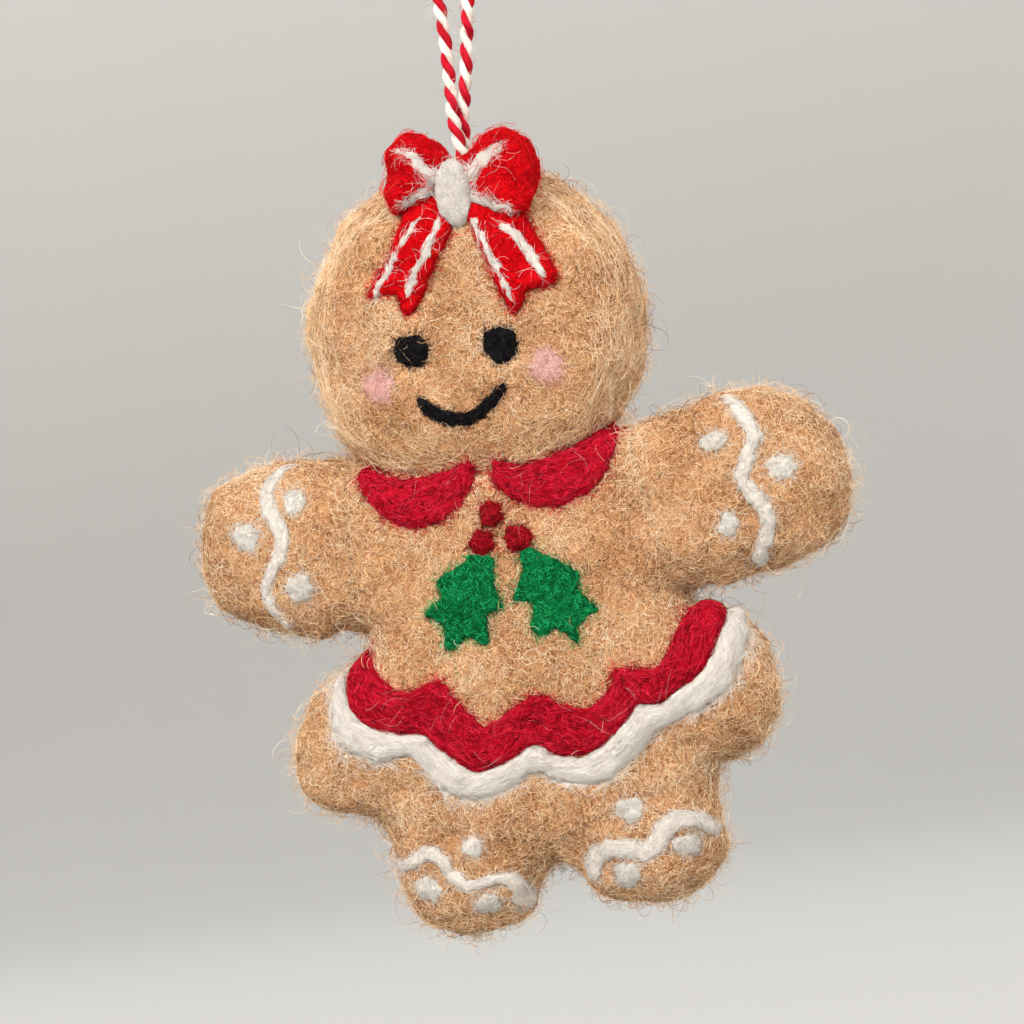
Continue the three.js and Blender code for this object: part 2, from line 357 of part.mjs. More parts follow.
const neckSide = new THREE.Shape();
neckSide.moveTo(-R, NECK_BOTTOM);
neckSide.lineTo(R, NECK_BOTTOM);
neckSide.lineTo(R, PIVOT_Z);
neckSide.absarc(0, PIVOT_Z, R, 0, Math.PI, false);
neckSide.lineTo(-R, NECK_BOTTOM);
const neck = new THREE.ExtrudeGeometry(neckSide, { depth: NECK_W, bevelEnabled: false, curveSegments: 8 });
neck.applyMatrix4(new THREE.Matrix4().makeBasis(new THREE.Vector3(0, 1, 0), new THREE.Vector3(0, 0, 1), new THREE.Vector3(1, 0, 0)));
neck.translate(-NECK_W / 2, 0, 0);
add("hanger_neck", solidOf(neck), WOOL.twine);
add("hanger_knot", ball(KNOT.r, 0, 0, KNOT.z, 10, 6), WOOL.twine);

// ---- assembly ----------------------------------------------------------------------
const ornament = new THREE.Group();
ornament.name = "felt_ornament";
const figure = new THREE.Group();
figure.name = "figure_frame";
figure.position.z = -HANG_HEIGHT;
for (const [name, solid, colour, roughness] of nodes) {
  const mesh = new THREE.Mesh(geometryOf(solid), new THREE.MeshStandardMaterial({ color: colour, roughness, metalness: 0 }));
  mesh.name = name;
  figure.add(mesh);
}
ornament.add(figure);

export default ornament;
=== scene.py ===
import math
import bpy
import numpy as np
from mathutils import Matrix, Vector
from mathutils.geometry import delaunay_2d_cdt


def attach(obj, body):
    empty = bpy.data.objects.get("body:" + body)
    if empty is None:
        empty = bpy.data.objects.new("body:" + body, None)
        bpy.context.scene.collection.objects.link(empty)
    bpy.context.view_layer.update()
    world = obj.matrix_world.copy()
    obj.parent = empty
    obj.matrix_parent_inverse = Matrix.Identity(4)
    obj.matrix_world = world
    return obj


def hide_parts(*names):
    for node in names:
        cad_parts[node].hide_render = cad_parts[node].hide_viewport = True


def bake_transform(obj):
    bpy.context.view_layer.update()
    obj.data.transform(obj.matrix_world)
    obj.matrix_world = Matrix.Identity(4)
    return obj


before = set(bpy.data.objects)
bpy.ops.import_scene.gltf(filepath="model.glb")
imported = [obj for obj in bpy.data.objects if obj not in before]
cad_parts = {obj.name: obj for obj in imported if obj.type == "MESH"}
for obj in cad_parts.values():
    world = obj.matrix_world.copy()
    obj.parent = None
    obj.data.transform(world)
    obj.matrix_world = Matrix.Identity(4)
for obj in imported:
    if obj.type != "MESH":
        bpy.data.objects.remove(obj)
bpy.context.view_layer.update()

# ---------------------------------------------------------------------------
# Sizes. Outlines are [x, z] in the figure's own millimetres; the frame's origin
# is the inside of the twine loop's top, HANG above the figure's zero.
# ---------------------------------------------------------------------------
HANG = 110.5
PIVOT_Z, LOOP_TOP, LOOP_BEND, LOOP_HALF = 65.8, 111.5, 104.0, 5.5
LEGS_TOUCH, LOOP_FOOT, LOOP_LEAN, TWINE_D = 68.0, 0.6, 2.6, 2.0
BODY = {
    "head": [[-26.2, 40.6], [-27.0, 37.2], [-26.7, 33.5], [-26.1, 26.4], [-24.5, 20.1], [-21.8, 15.6], [-16.3, 11.5], [-10.2, 9.3], [-3.4, 8.1], [3.9, 8.0], [10.4, 9.9], [15.6, 13.2], [20.1, 18.4], [22.7, 22.3], [24.6, 27.7], [25.2, 33.0], [24.2, 39.5], [21.8, 45.5], [18.1, 50.4], [13.7, 53.7], [7.8, 56.4], [0.6, 57.8], [-6.3, 57.5], [-11.8, 56.0], [-15.7, 54.1], [-20.3, 50.4], [-24.5, 43.6]],
    "left_arm": [[-23.8, 15.6], [-29.0, 16.5], [-34.3, 16.9], [-39.0, 16.8], [-43.0, 15.6], [-46.1, 13.4], [-48.1, 9.9], [-49.1, 5.5], [-49.0, 1.7], [-47.7, -2.2], [-45.1, -5.3], [-41.2, -7.7], [-36.2, -9.4], [-30.9, -10.0], [-25.3, -9.8], [-19.8, -10.3], [-15.1, -5.6], [-13.2, 1.9], [-14.6, 8.4], [-18.5, 13.6]],
    "right_arm": [[15.5, 13.3], [20.5, 14.1], [24.6, 15.8], [29.3, 16.5], [33.2, 17.1], [37.2, 17.5], [41.8, 17.2], [45.7, 15.7], [49.1, 12.5], [51.5, 8.0], [52.5, 3.3], [52.2, -0.8], [50.3, -5.0], [47.1, -7.9], [42.3, -9.5], [36.8, -10.2], [31.6, -11.0], [27.7, -11.4], [23.1, -11.6], [18.2, -10.5], [14.0, -6.7], [12.2, -0.2], [12.7, 7.5]],
    "torso": [[-22.4, 14.2], [-25.4, 10.0], [-26.0, 0.7], [-24.6, -7.4], [-23.9, -10.6], [-25.9, -13.9], [-29.2, -16.4], [-32.0, -17.6], [-35.2, -20.7], [-37.9, -24.9], [-39.1, -29.4], [-38.7, -33.5], [-36.0, -36.5], [-31.5, -38.3], [-26.0, -39.4], [-19.9, -42.5], [-12.6, -46.1], [-5.0, -48.4], [-0.0, -49.0], [6.1, -48.3], [14.6, -44.9], [21.6, -40.5], [25.7, -38.0], [30.0, -38.0], [34.1, -35.0], [36.8, -31.2], [37.5, -27.1], [36.6, -22.4], [34.6, -18.6], [31.9, -15.8], [28.4, -14.3], [25.2, -12.6], [24.3, -3.6], [23.1, 5.9], [20.1, 13.2], [14.0, 14.6], [6.0, 15.2], [-3.0, 15.3], [-12.0, 15.2], [-18.0, 15.0]],
    "left_leg": [[-25.1, -39.1], [-25.8, -43.2], [-25.5, -47.4], [-24.6, -51.6], [-22.6, -55.5], [-18.8, -58.1], [-14.7, -59.3], [-10.5, -58.8], [-7.0, -56.8], [-4.7, -53.5], [-2.7, -50.3], [-1.2, -47.3], [-0.0, -42.8], [-1.0, -38.0], [-7.7, -34.7], [-17.1, -34.1], [-22.8, -35.5]],
    "right_leg": [[1.5, -45.3], [1.6, -48.8], [3.2, -52.1], [5.8, -55.6], [9.7, -57.5], [14.3, -58.3], [19.3, -57.0], [23.3, -54.5], [25.2, -50.7], [25.4, -46.6], [24.6, -42.3], [24.5, -38.1], [22.5, -34.4], [14.9, -32.5], [6.6, -34.4], [2.7, -39.3]],
}
PATCH = {
    "collar_left": [[-21.0, 14.3], [-19.6, 14.2], [-17.7, 13.0], [-14.5, 11.8], [-10.5, 11.6], [-6.3, 12.5], [-4.2, 13.2], [-3.1, 12.7], [-3.0, 11.0], [-5.0, 7.3], [-8.2, 5.0], [-11.7, 4.0], [-15.4, 4.6], [-18.2, 6.9], [-20.4, 9.7], [-21.6, 12.5]],
    "collar_right": [[0.1, 12.5], [1.1, 12.2], [4.3, 11.3], [8.8, 11.7], [13.1, 13.3], [15.7, 14.4], [17.0, 15.3], [19.1, 14.5], [19.1, 12.1], [17.6, 9.0], [14.8, 6.0], [10.8, 4.4], [6.5, 4.4], [2.8, 5.9], [0.5, 8.1], [-0.6, 10.4]],
    "leaf_left": [[-5.0, -1.1], [-1.9, -2.1], [-2.2, -4.3], [-2.0, -7.5], [-1.4, -9.9], [-3.8, -10.6], [-4.3, -12.2], [-4.3, -14.6], [-5.1, -15.3], [-6.3, -14.6], [-7.7, -13.8], [-9.0, -14.7], [-11.3, -15.2], [-11.4, -13.1], [-11.5, -11.2], [-12.7, -10.2], [-14.0, -9.1], [-12.4, -7.7], [-11.0, -7.1], [-11.3, -5.1], [-10.7, -3.8], [-8.1, -2.7], [-6.5, -2.0]],
    "leaf_right": [[3.6, -1.0], [1.9, -2.3], [2.0, -4.6], [1.2, -6.5], [0.1, -9.0], [2.6, -9.7], [2.8, -11.2], [2.1, -13.0], [2.5, -14.3], [4.3, -15.2], [5.7, -14.3], [7.3, -15.2], [8.9, -17.3], [9.6, -15.0], [10.6, -13.5], [13.0, -12.4], [11.8, -10.5], [10.4, -8.4], [11.1, -6.5], [9.1, -4.7], [6.3, -2.8]],
    "skirt_band": [[-24.8, -13.5], [-23.9, -14.4], [-23.1, -16.4], [-21.6, -18.6], [-19.4, -20.0], [-16.8, -20.2], [-14.4, -19.7], [-12.8, -19.5], [-11.6, -21.1], [-9.7, -24.4], [-7.7, -27.0], [-6.8, -27.3], [-2.4, -25.4], [1.5, -23.7], [4.9, -25.5], [8.0, -26.7], [10.7, -26.2], [12.7, -24.1], [14.1, -21.7], [17.1, -21.9], [20.2, -22.1], [22.4, -20.3], [24.8, -15.8], [26.7, -13.6], [28.1, -12.9], [30.4, -13.6], [31.3, -16.2], [30.0, -19.4], [28.3, -22.6], [26.0, -24.9], [23.2, -26.1], [20.1, -27.7], [16.9, -27.4], [15.8, -28.6], [12.2, -31.6], [8.3, -33.6], [3.6, -33.4], [0.3, -31.4], [-3.6, -32.9], [-7.8, -34.1], [-9.3, -34.2], [-11.4, -33.0], [-14.1, -30.5], [-16.5, -28.0], [-17.7, -27.2], [-20.6, -26.8], [-23.5, -25.7], [-25.8, -24.3], [-27.5, -21.8], [-28.2, -18.6], [-28.0, -16.0]],
    "skirt_trim": [[-28.3, -15.9], [-28.3, -18.6], [-27.6, -21.8], [-25.9, -24.3], [-23.5, -25.8], [-20.6, -26.9], [-17.7, -27.3], [-16.5, -28.1], [-14.1, -30.6], [-11.4, -33.0], [-9.3, -34.2], [-7.8, -34.2], [-3.6, -33.0], [0.3, -31.5], [3.6, -33.5], [8.3, -33.7], [12.2, -31.7], [15.8, -28.7], [16.8, -27.5], [20.1, -27.8], [23.2, -26.2], [26.0, -25.0], [28.2, -22.7], [30.0, -19.5], [31.4, -16.3], [31.6, -15.8], [32.7, -15.6], [33.8, -17.1], [34.0, -20.1], [32.7, -23.8], [30.2, -27.2], [26.1, -29.4], [22.0, -30.7], [18.5, -31.8], [17.1, -33.6], [14.2, -35.5], [10.2, -38.0], [6.1, -38.0], [2.6, -37.1], [-0.3, -35.4], [-4.7, -37.3], [-8.1, -38.1], [-11.2, -38.1], [-14.0, -36.8], [-16.2, -34.6], [-18.1, -31.8], [-19.2, -30.4], [-21.5, -30.0], [-23.4, -30.6], [-26.6, -29.5], [-29.1, -27.7], [-30.2, -25.2], [-30.6, -22.3], [-30.5, -19.4], [-29.8, -16.8]],
    "tail_left": [[-2.3, 50.7], [-5.8, 51.2], [-10.4, 46.0], [-13.3, 42.9], [-15.0, 40.0], [-13.9, 39.6], [-10.6, 39.6], [-10.3, 37.9], [-9.4, 36.2], [-7.3, 37.3], [-4.6, 42.0], [-1.5, 46.3], [-0.3, 48.4]],
    "tail_right": [[1.9, 48.9], [3.8, 44.3], [5.0, 39.0], [6.3, 34.9], [7.1, 33.8], [9.0, 35.5], [9.6, 37.2], [13.1, 37.4], [14.5, 38.0], [14.3, 40.4], [12.2, 45.4], [10.8, 48.4], [4.2, 50.4]],
    "bow_left": [[-9.9, 59.4], [-9.8, 61.2], [-8.6, 62.8], [-6.7, 63.6], [-4.3, 63.4], [-2.2, 62.1], [-0.6, 60.6], [0.2, 59.5], [-0.0, 56.6], [-1.5, 54.5], [-2.9, 53.7], [-5.1, 53.0], [-8.2, 51.7], [-10.0, 51.8], [-10.4, 54.4], [-10.3, 56.9]],
    "bow_right": [[1.5, 58.3], [2.1, 58.9], [3.8, 60.2], [5.5, 61.5], [8.0, 62.2], [10.5, 61.8], [12.4, 60.2], [13.3, 57.8], [13.6, 55.2], [12.9, 52.2], [11.3, 49.4], [9.0, 48.4], [6.6, 49.7], [4.0, 51.3], [1.6, 52.9], [0.8, 55.7]],
    "knot": [[1.4, 58.3], [2.7, 57.7], [3.4, 55.8], [3.5, 53.2], [3.1, 50.7], [2.1, 49.2], [0.7, 48.6], [-0.7, 49.5], [-1.5, 51.6], [-1.8, 53.9], [-1.2, 56.5], [-0.0, 58.1]],
}
STRIP = {
    "mouth": {"line": [[-9.0, 22.9], [-8.1, 21.8], [-7.0, 20.9], [-5.4, 19.9], [-3.7, 19.4], [-2.0, 19.4], [-0.5, 20.0], [0.9, 20.8], [2.0, 21.6], [2.9, 22.5], [3.7, 23.2]], "half": [0.65, 0.77, 0.82, 0.83, 0.85, 0.85, 0.83, 0.77, 0.74, 0.71, 0.62]},
    "left_arm_icing": {"line": [[-32.4, 16.1], [-34.4, 14.8], [-35.7, 12.0], [-35.0, 8.9], [-33.8, 5.8], [-34.7, 2.9], [-36.7, 0.3], [-37.7, -2.2], [-37.2, -5.0], [-36.0, -7.7]], "half": [0.54, 0.92, 1.15, 1.15, 1.15, 1.08, 1.0, 0.92, 0.77, 0.46]},
    "right_arm_icing": {"line": [[37.0, 16.4], [39.3, 13.6], [40.7, 10.5], [39.3, 7.3], [38.1, 4.5], [39.2, 1.7], [40.7, -0.8], [40.8, -3.8], [39.5, -6.2], [38.0, -8.5]], "half": [0.77, 1.08, 1.15, 1.08, 1.15, 1.23, 1.31, 1.15, 1.08, 0.92]},
    "left_leg_icing": {"line": [[-24.7, -47.3], [-21.8, -46.7], [-19.7, -45.6], [-18.2, -45.6], [-16.8, -46.9], [-15.6, -49.0], [-14.0, -50.7], [-12.0, -51.2], [-9.7, -50.8], [-7.3, -51.3], [-6.1, -52.5], [-6.1, -55.0]], "half": [0.69, 0.85, 0.85, 0.85, 0.85, 0.85, 0.85, 0.77, 0.77, 0.85, 1.0, 0.92]},
    "right_leg_icing": {"line": [[5.9, -52.0], [6.6, -50.0], [8.2, -48.9], [10.5, -48.5], [12.9, -49.2], [15.0, -49.5], [16.6, -48.5], [17.7, -46.9], [19.1, -45.7], [21.2, -45.6], [23.0, -46.3], [24.5, -47.8]], "half": [0.92, 1.0, 1.0, 0.97, 1.0, 1.0, 1.05, 1.05, 1.0, 0.92, 0.85, 0.69]},
    "loop_left_upper": {"line": [[-1.2, 56.2], [-3.2, 58.1], [-4.7, 60.3], [-7.1, 61.7]], "half": [0.77, 0.77, 0.74, 0.62]},
    "loop_left_lower": {"line": [[-1.8, 54.7], [-4.8, 53.9], [-7.6, 52.3]], "half": [0.77, 0.77, 0.62]},
    "loop_right_upper": {"line": [[2.5, 56.1], [5.6, 58.1], [8.5, 59.9]], "half": [0.77, 0.92, 0.92]},
    "loop_right_lower": {"line": [[2.8, 52.7], [5.7, 50.9], [8.6, 49.9], [9.4, 49.1]], "half": [0.77, 0.77, 0.77, 0.62]},
    "tail_left_outer": {"line": [[-4.9, 50.3], [-8.7, 46.5], [-13.5, 40.2]], "half": [0.4, 0.49, 0.62]},
    "tail_left_inner": {"line": [[-1.9, 49.8], [-5.3, 44.9], [-8.9, 39.1]], "half": [0.49, 0.58, 0.62]},
    "tail_right_inner": {"line": [[3.2, 48.9], [5.2, 43.3], [7.4, 36.7]], "half": [0.55, 0.55, 0.4]},
    "tail_right_outer": {"line": [[7.1, 47.0], [8.2, 46.7], [10.0, 43.8], [12.5, 39.1]], "half": [0.54, 0.77, 0.77, 0.62]},
}
DOT = {
    "left_eye": [-9.1, 30.9, 2.60, 2.45],
    "right_eye": [4.6, 29.8, 2.54, 2.80],
    "left_cheek": [-15.5, 26.3, 2.44, 2.55],
    "right_cheek": [10.9, 25.3, 2.66, 2.58],
    "berry_top": [-1.3, 4.4, 2.08, 2.00],
    "berry_left": [-3.4, 0.4, 1.99, 2.00],
    "berry_right": [2.3, 0.3, 2.16, 2.08],
    "left_arm_dot_upper": [-31.4, 10.8, 1.80, 2.08],
    "left_arm_dot_outer": [-39.5, 6.4, 2.04, 2.08],
    "left_arm_dot_lower": [-32.3, -2.3, 2.12, 2.15],
    "right_arm_dot_upper": [34.4, 10.3, 2.12, 1.54],
    "right_arm_dot_outer": [44.1, 5.1, 2.12, 2.00],
    "right_arm_dot_lower": [34.7, -2.3, 1.60, 2.00],
    "left_leg_dot_upper": [-11.8, -45.4, 1.49, 1.62],
    "left_leg_dot_left": [-19.7, -50.9, 2.16, 2.00],
    "left_leg_dot_right": [-11.0, -54.3, 1.80, 1.62],
    "right_leg_dot_upper": [13.2, -43.2, 2.12, 2.00],
    "right_leg_dot_right": [21.1, -49.7, 2.12, 1.69],
    "right_leg_dot_left": [11.1, -52.9, 2.12, 2.08],
}
# half thickness, and width over which the rim rounds off
PADS = {
    "head": (11.0, 13.0), "torso": (9.2, 11.0), "left_arm": (8.6, 10.5), "right_arm": (8.6, 10.5),
    "left_leg": (8.8, 9.5), "right_leg": (8.8, 9.5),
}

rng = np.random.default_rng(71)


def to_frame(p):
    """Figure millimetres to frame metres."""
    q = np.array(p, dtype=np.float64)
    q[..., 2] -= HANG
    return q * 0.001


# ---------------------------------------------------------------------------
# Camera: straight on, a little from the figure's own left, rolled with the pose.
# ---------------------------------------------------------------------------
YAW, ROLL, DIST, FIELD = math.radians(11.0), math.radians(8.5), 0.900, 0.15754
aim = Vector(to_frame((0.183, 0.0, 4.33)))
side = Vector((math.cos(YAW), math.sin(YAW), 0.0))
back = Vector((math.sin(YAW), -math.cos(YAW), 0.0))
cam_x = side * math.cos(ROLL) - Vector((0, 0, 1)) * math.sin(ROLL)
cam_y = side * math.sin(ROLL) + Vector((0, 0, 1)) * math.cos(ROLL)
cam_data = bpy.data.cameras.new("camera")
cam_data.sensor_width = 36.0
cam_data.lens = 36.0 * DIST / FIELD
cam_data.clip_start, cam_data.clip_end = 0.02, 50.0
camera = bpy.data.objects.new("camera", cam_data)
camera.matrix_world = Matrix.Translation(aim + back * DIST) @ Matrix((cam_x, cam_y, back)).transposed().to_4x4()
bpy.context.scene.collection.objects.link(camera)
bpy.context.scene.camera = camera
bpy.context.scene.view_settings.view_transform = "Standard"


# ---------------------------------------------------------------------------
# Mesh helpers
# ---------------------------------------------------------------------------
def mesh_object(name, verts_mm, faces, materials, index=None, smooth=True):
    """One mesh from figure millimetres; faces is an (n, 3) or (n, 4) array or a list of such arrays."""
    if not isinstance(faces, (list, tuple)):
        faces = [faces]
    faces = [np.asarray(f, dtype=np.int32) for f in faces if len(f)]
    totals = np.concatenate([np.full(len(f), f.shape[1], dtype=np.int32) for f in faces])
    loops = np.concatenate([f.ravel() for f in faces])
    me = bpy.data.meshes.new(name)
    v = to_frame(verts_mm).astype(np.float32)
    me.vertices.add(len(v))
    me.vertices.foreach_set("co", v.ravel())
    me.loops.add(len(loops))
    me.loops.foreach_set("vertex_index", loops)
    me.polygons.add(len(totals))
    starts = np.concatenate([[0], np.cumsum(totals)[:-1]]).astype(np.int32)
    me.polygons.foreach_set("loop_start", starts)
    if index is not None:
        me.polygons.foreach_set("material_index", np.asarray(index, dtype=np.int32))
    me.polygons.foreach_set("use_smooth", np.full(len(totals), smooth))
    for m in materials if isinstance(materials, (list, tuple)) else [materials]:
        me.materials.append(m)
    me.update(calc_edges=True)
    me.validate()
    ob = bpy.data.objects.new(name, me)
    bpy.context.scene.collection.objects.link(ob)
    return ob


def waves(seed, length, n=26):
    r = np.random.default_rng(seed)
    d = r.normal(size=(n, 3))
    d /= np.linalg.norm(d, axis=1)[:, None]
    return d * (2 * math.pi / (length * r.uniform(0.7, 1.5, n)))[:, None], r.uniform(0, 2 * math.pi, n)


def noise(p, w):
    """Smooth noise of about unit size."""
    return np.sin(p @ w[0].T + w[1]).sum(-1) * math.sqrt(2.0 / len(w[1]))


def unit(v):
    return v / np.maximum(np.linalg.norm(v, axis=-1, keepdims=True), 1e-9)


def spline(points, step, closed=True):
    """Catmull-Rom through the points, resampled evenly."""
    p = np.asarray(points, dtype=np.float64)
    n = len(p)
    rows = []
    for i in range(n if closed else n - 1):
        if closed:
            a, b, c, d = p[(i - 1) % n], p[i], p[(i + 1) % n], p[(i + 2) % n]
        else:
            b, c = p[i], p[i + 1]
            a = p[i - 1] if i else 2 * b - c
            d = p[i + 2] if i + 2 < n else 2 * c - b
        t = np.linspace(0, 1, 16, endpoint=False)[:, None]
        rows.append(0.5 * (2 * b + (c - a) * t + (2 * a - 5 * b + 4 * c - d) * t**2 + (3 * b - a - 3 * c + d) * t**3))
    q = np.vstack(rows + ([p[:1]] if closed else [p[-1:]]))
    s = np.concatenate([[0], np.cumsum(np.linalg.norm(np.diff(q, axis=0), axis=1))])
    m = max(6, int(round(s[-1] / step)))
    u = np.linspace(0, s[-1], m, endpoint=not closed)
    return np.stack([np.interp(u, s, q[:, k]) for k in range(q.shape[1])], axis=1)


def inner_distance(poly, q):
    """Distance to a closed outline, positive inside. q is (n, 2)."""
    a, b = poly, np.roll(poly, -1, 0)
    e = b - a
    ee = np.maximum((e * e).sum(1), 1e-12)
    out = np.empty(len(q))
    for s in range(0, len(q), 4000):
        w = q[s:s + 4000, None, :] - a[None]
        t = np.clip((w * e).sum(2) / ee, 0, 1)
        d = np.sqrt(((w - e * t[..., None]) ** 2).sum(2)).min(1)
        z, x = q[s:s + 4000, 1][:, None], q[s:s + 4000, 0][:, None]
        up = (a[:, 1] > z) != (b[:, 1] > z)
        with np.errstate(divide="ignore", invalid="ignore"):
            cut = x < e[:, 0] * (z - a[:, 1]) / np.where(e[:, 1] == 0, 1e-12, e[:, 1]) + a[:, 0]
        out[s:s + 4000] = np.where((up & cut).sum(1) % 2 == 1, d, -d)
    return out


class Field:
    """A solid as values on a grid: below zero inside, about millimetres."""

    def __init__(self, values, low, step):
        self.f, self.low, self.step = values, np.asarray(low, dtype=np.float64), step
        g = np.gradient(values, step)
        self.all = np.stack([values] + list(g), axis=-1).astype(np.float32)

    def at(self, p):
        """(value, gradient) at points, by trilinear reading."""
        q = (p - self.low) / self.step
        top = np.array(self.f.shape) - 1.001
        q = np.clip(q, 0, top)
        i = q.astype(np.int32)
        t = (q - i).astype(np.float32)
        x, y, z = i[:, 0], i[:, 1], i[:, 2]
        tx, ty, tz = t[:, :1], t[:, 1:2], t[:, 2:]
        a = self.all
        c00 = a[x, y, z] * (1 - tx) + a[x + 1, y, z] * tx
        c10 = a[x, y + 1, z] * (1 - tx) + a[x + 1, y + 1, z] * tx
        c01 = a[x, y, z + 1] * (1 - tx) + a[x + 1, y, z + 1] * tx
        c11 = a[x, y + 1, z + 1] * (1 - tx) + a[x + 1, y + 1, z + 1] * tx
        r = (c00 * (1 - ty) + c10 * ty) * (1 - tz) + (c01 * (1 - ty) + c11 * ty) * tz
        return r[:, 0].astype(np.float64), r[:, 1:].astype(np.float64)

    def project(self, p, rounds=2):
        for _ in range(rounds):
            v, g = self.at(p)
            p = p - g * np.clip(v / np.maximum((g * g).sum(1), 0.05), -2.0, 2.0)[:, None]
        return p

    def normal(self, p):
        return unit(self.at(p)[1])

    def front(self, x, z, start=-17.0, stop=2.0):
        """Points of the front surface over (x, z), and whether there is one."""
        y = np.full(len(x), stop)
        found = np.zeros(len(x), dtype=bool)
        before = None
        ys = np.arange(start, stop + 0.01, 0.35)
        for k, level in enumerate(ys):
            v = self.at(np.stack([x, np.full(len(x), level), z], axis=1))[0]
            if before is not None:
                hit = (~found) & (before > 0) & (v <= 0)
                y[hit] = level - 0.35 * (v[hit] / np.minimum(v[hit] - before[hit], -1e-9))
                found |= hit
            before = v
        return np.stack([x, y, z], axis=1), found


def surface_nets(field, even=2):
    """Closed quad mesh of a field's zero surface."""
    f = field.f
    s = f < 0
    corners = [(a, b, c) for a in (0, 1) for b in (0, 1) for c in (0, 1)]
    n = [d - 1 for d in f.shape]
    count = sum(s[a:a + n[0], b:b + n[1], c:c + n[2]].astype(np.int8) for a, b, c in corners)
    cells = np.argwhere((count > 0) & (count < 8))
    index = np.full(n, -1, dtype=np.int64)
    index[cells[:, 0], cells[:, 1], cells[:, 2]] = np.arange(len(cells))
    total, hits = np.zeros((len(cells), 3)), np.zeros(len(cells))
    for a in corners:
        for axis in range(3):
            if a[axis] == 1:
                continue
            b = tuple(1 if k == axis else a[k] for k in range(3))
            fa = f[cells[:, 0] + a[0], cells[:, 1] + a[1], cells[:, 2] + a[2]]
            fb = f[cells[:, 0] + b[0], cells[:, 1] + b[1], cells[:, 2] + b[2]]
            cross = (fa < 0) != (fb < 0)
            t = np.where(cross, fa / np.where(cross, fa - fb, 1), 0)
            p = np.tile(np.array(a, dtype=np.float64), (len(cells), 1))
            p[:, axis] += t
            total += np.where(cross[:, None], p, 0)
            hits += cross
    verts = field.low + (cells + total / hits[:, None]) * field.step
    quads = []
    for axis in range(3):
        o1, o2 = (axis + 1) % 3, (axis + 2) % 3
        lo = [slice(None)] * 3
        hi = [slice(None)] * 3
        lo[axis], hi[axis] = slice(0, -1), slice(1, None)
        cross = s[tuple(lo)] != s[tuple(hi)]
        where = np.argwhere(cross)
        ok = (where[:, o1] > 0) & (where[:, o2] > 0) & (where[:, o1] < n[o1]) & (where[:, o2] < n[o2])
        where = where[ok]
        inside_first = s[where[:, 0], where[:, 1], where[:, 2]]
        ring = []
        for d1, d2 in ((-1, -1), (0, -1), (0, 0), (-1, 0)):
            c = where.copy()
            c[:, o1] += d1
            c[:, o2] += d2
            ring.append(index[c[:, 0], c[:, 1], c[:, 2]])
        q = np.stack(ring, axis=1)
        q[~inside_first] = q[~inside_first][:, ::-1]
        quads.append(q)
    quads = np.vstack(quads)
    verts = field.project(verts, 2)
    for _ in range(even):
        sums, deg = np.zeros_like(verts), np.zeros(len(verts))
        for k in range(4):
            i, j = quads[:, k], quads[:, (k + 1) % 4]
            np.add.at(sums, i, verts[j])
            np.add.at(sums, j, verts[i])
            np.add.at(deg, i, 1)
            np.add.at(deg, j, 1)
        verts = field.project(verts * 0.5 + 0.5 * sums / np.maximum(deg, 1)[:, None], 1)
    return verts, quads


def soft_min(a, b, k):
    h = np.maximum(k - np.abs(a - b), 0) / k
    return np.minimum(a, b) - h * h * k * 0.25


def pad_values(poly, half, rim, X, Y, Z, mid=0.0, power=2.2):
    """Pillow over an outline: flat in the middle, rounding off over the rim."""
    q = np.stack([X[:, 0, :].ravel(), Z[:, 0, :].ravel()], axis=1)
    d = inner_distance(poly, q).reshape(X.shape[0], X.shape[2])[:, None, :]
    u = (rim - np.minimum(d, rim)) / rim
    return ((u**power + (np.abs(Y - mid) / half) ** power) ** (1 / power) - 1) * half


def grid(low, high, step):
    axes = [np.arange(low[k], high[k] + step, step) for k in range(3)]
    return np.meshgrid(*axes, indexing="ij")


# ---------------------------------------------------------------------------
# Materials: wool in several shades. Surfaces are noise driven, loose fibres plain.
# ---------------------------------------------------------------------------
def srgb(text):
    c = [int(text[i:i + 2], 16) / 255 for i in (0, 2, 4)]
    return tuple(x / 12.92 if x <= 0.04045 else ((x + 0.055) / 1.055) ** 2.4 for x in c) + (1.0,)


def fibre_material(name, colour, sheen=0.0):
    m = bpy.data.materials.new(name)
    m.use_nodes = True
    b = m.node_tree.nodes["Principled BSDF"]
    b.inputs["Base Color"].default_value = srgb(colour)
    b.inputs["Roughness"].default_value = 0.8
    b.inputs["Specular IOR Level"].default_value = 0.08
    b.inputs["Sheen Weight"].default_value = sheen
    b.inputs["Sheen Roughness"].default_value = 0.5
    return m


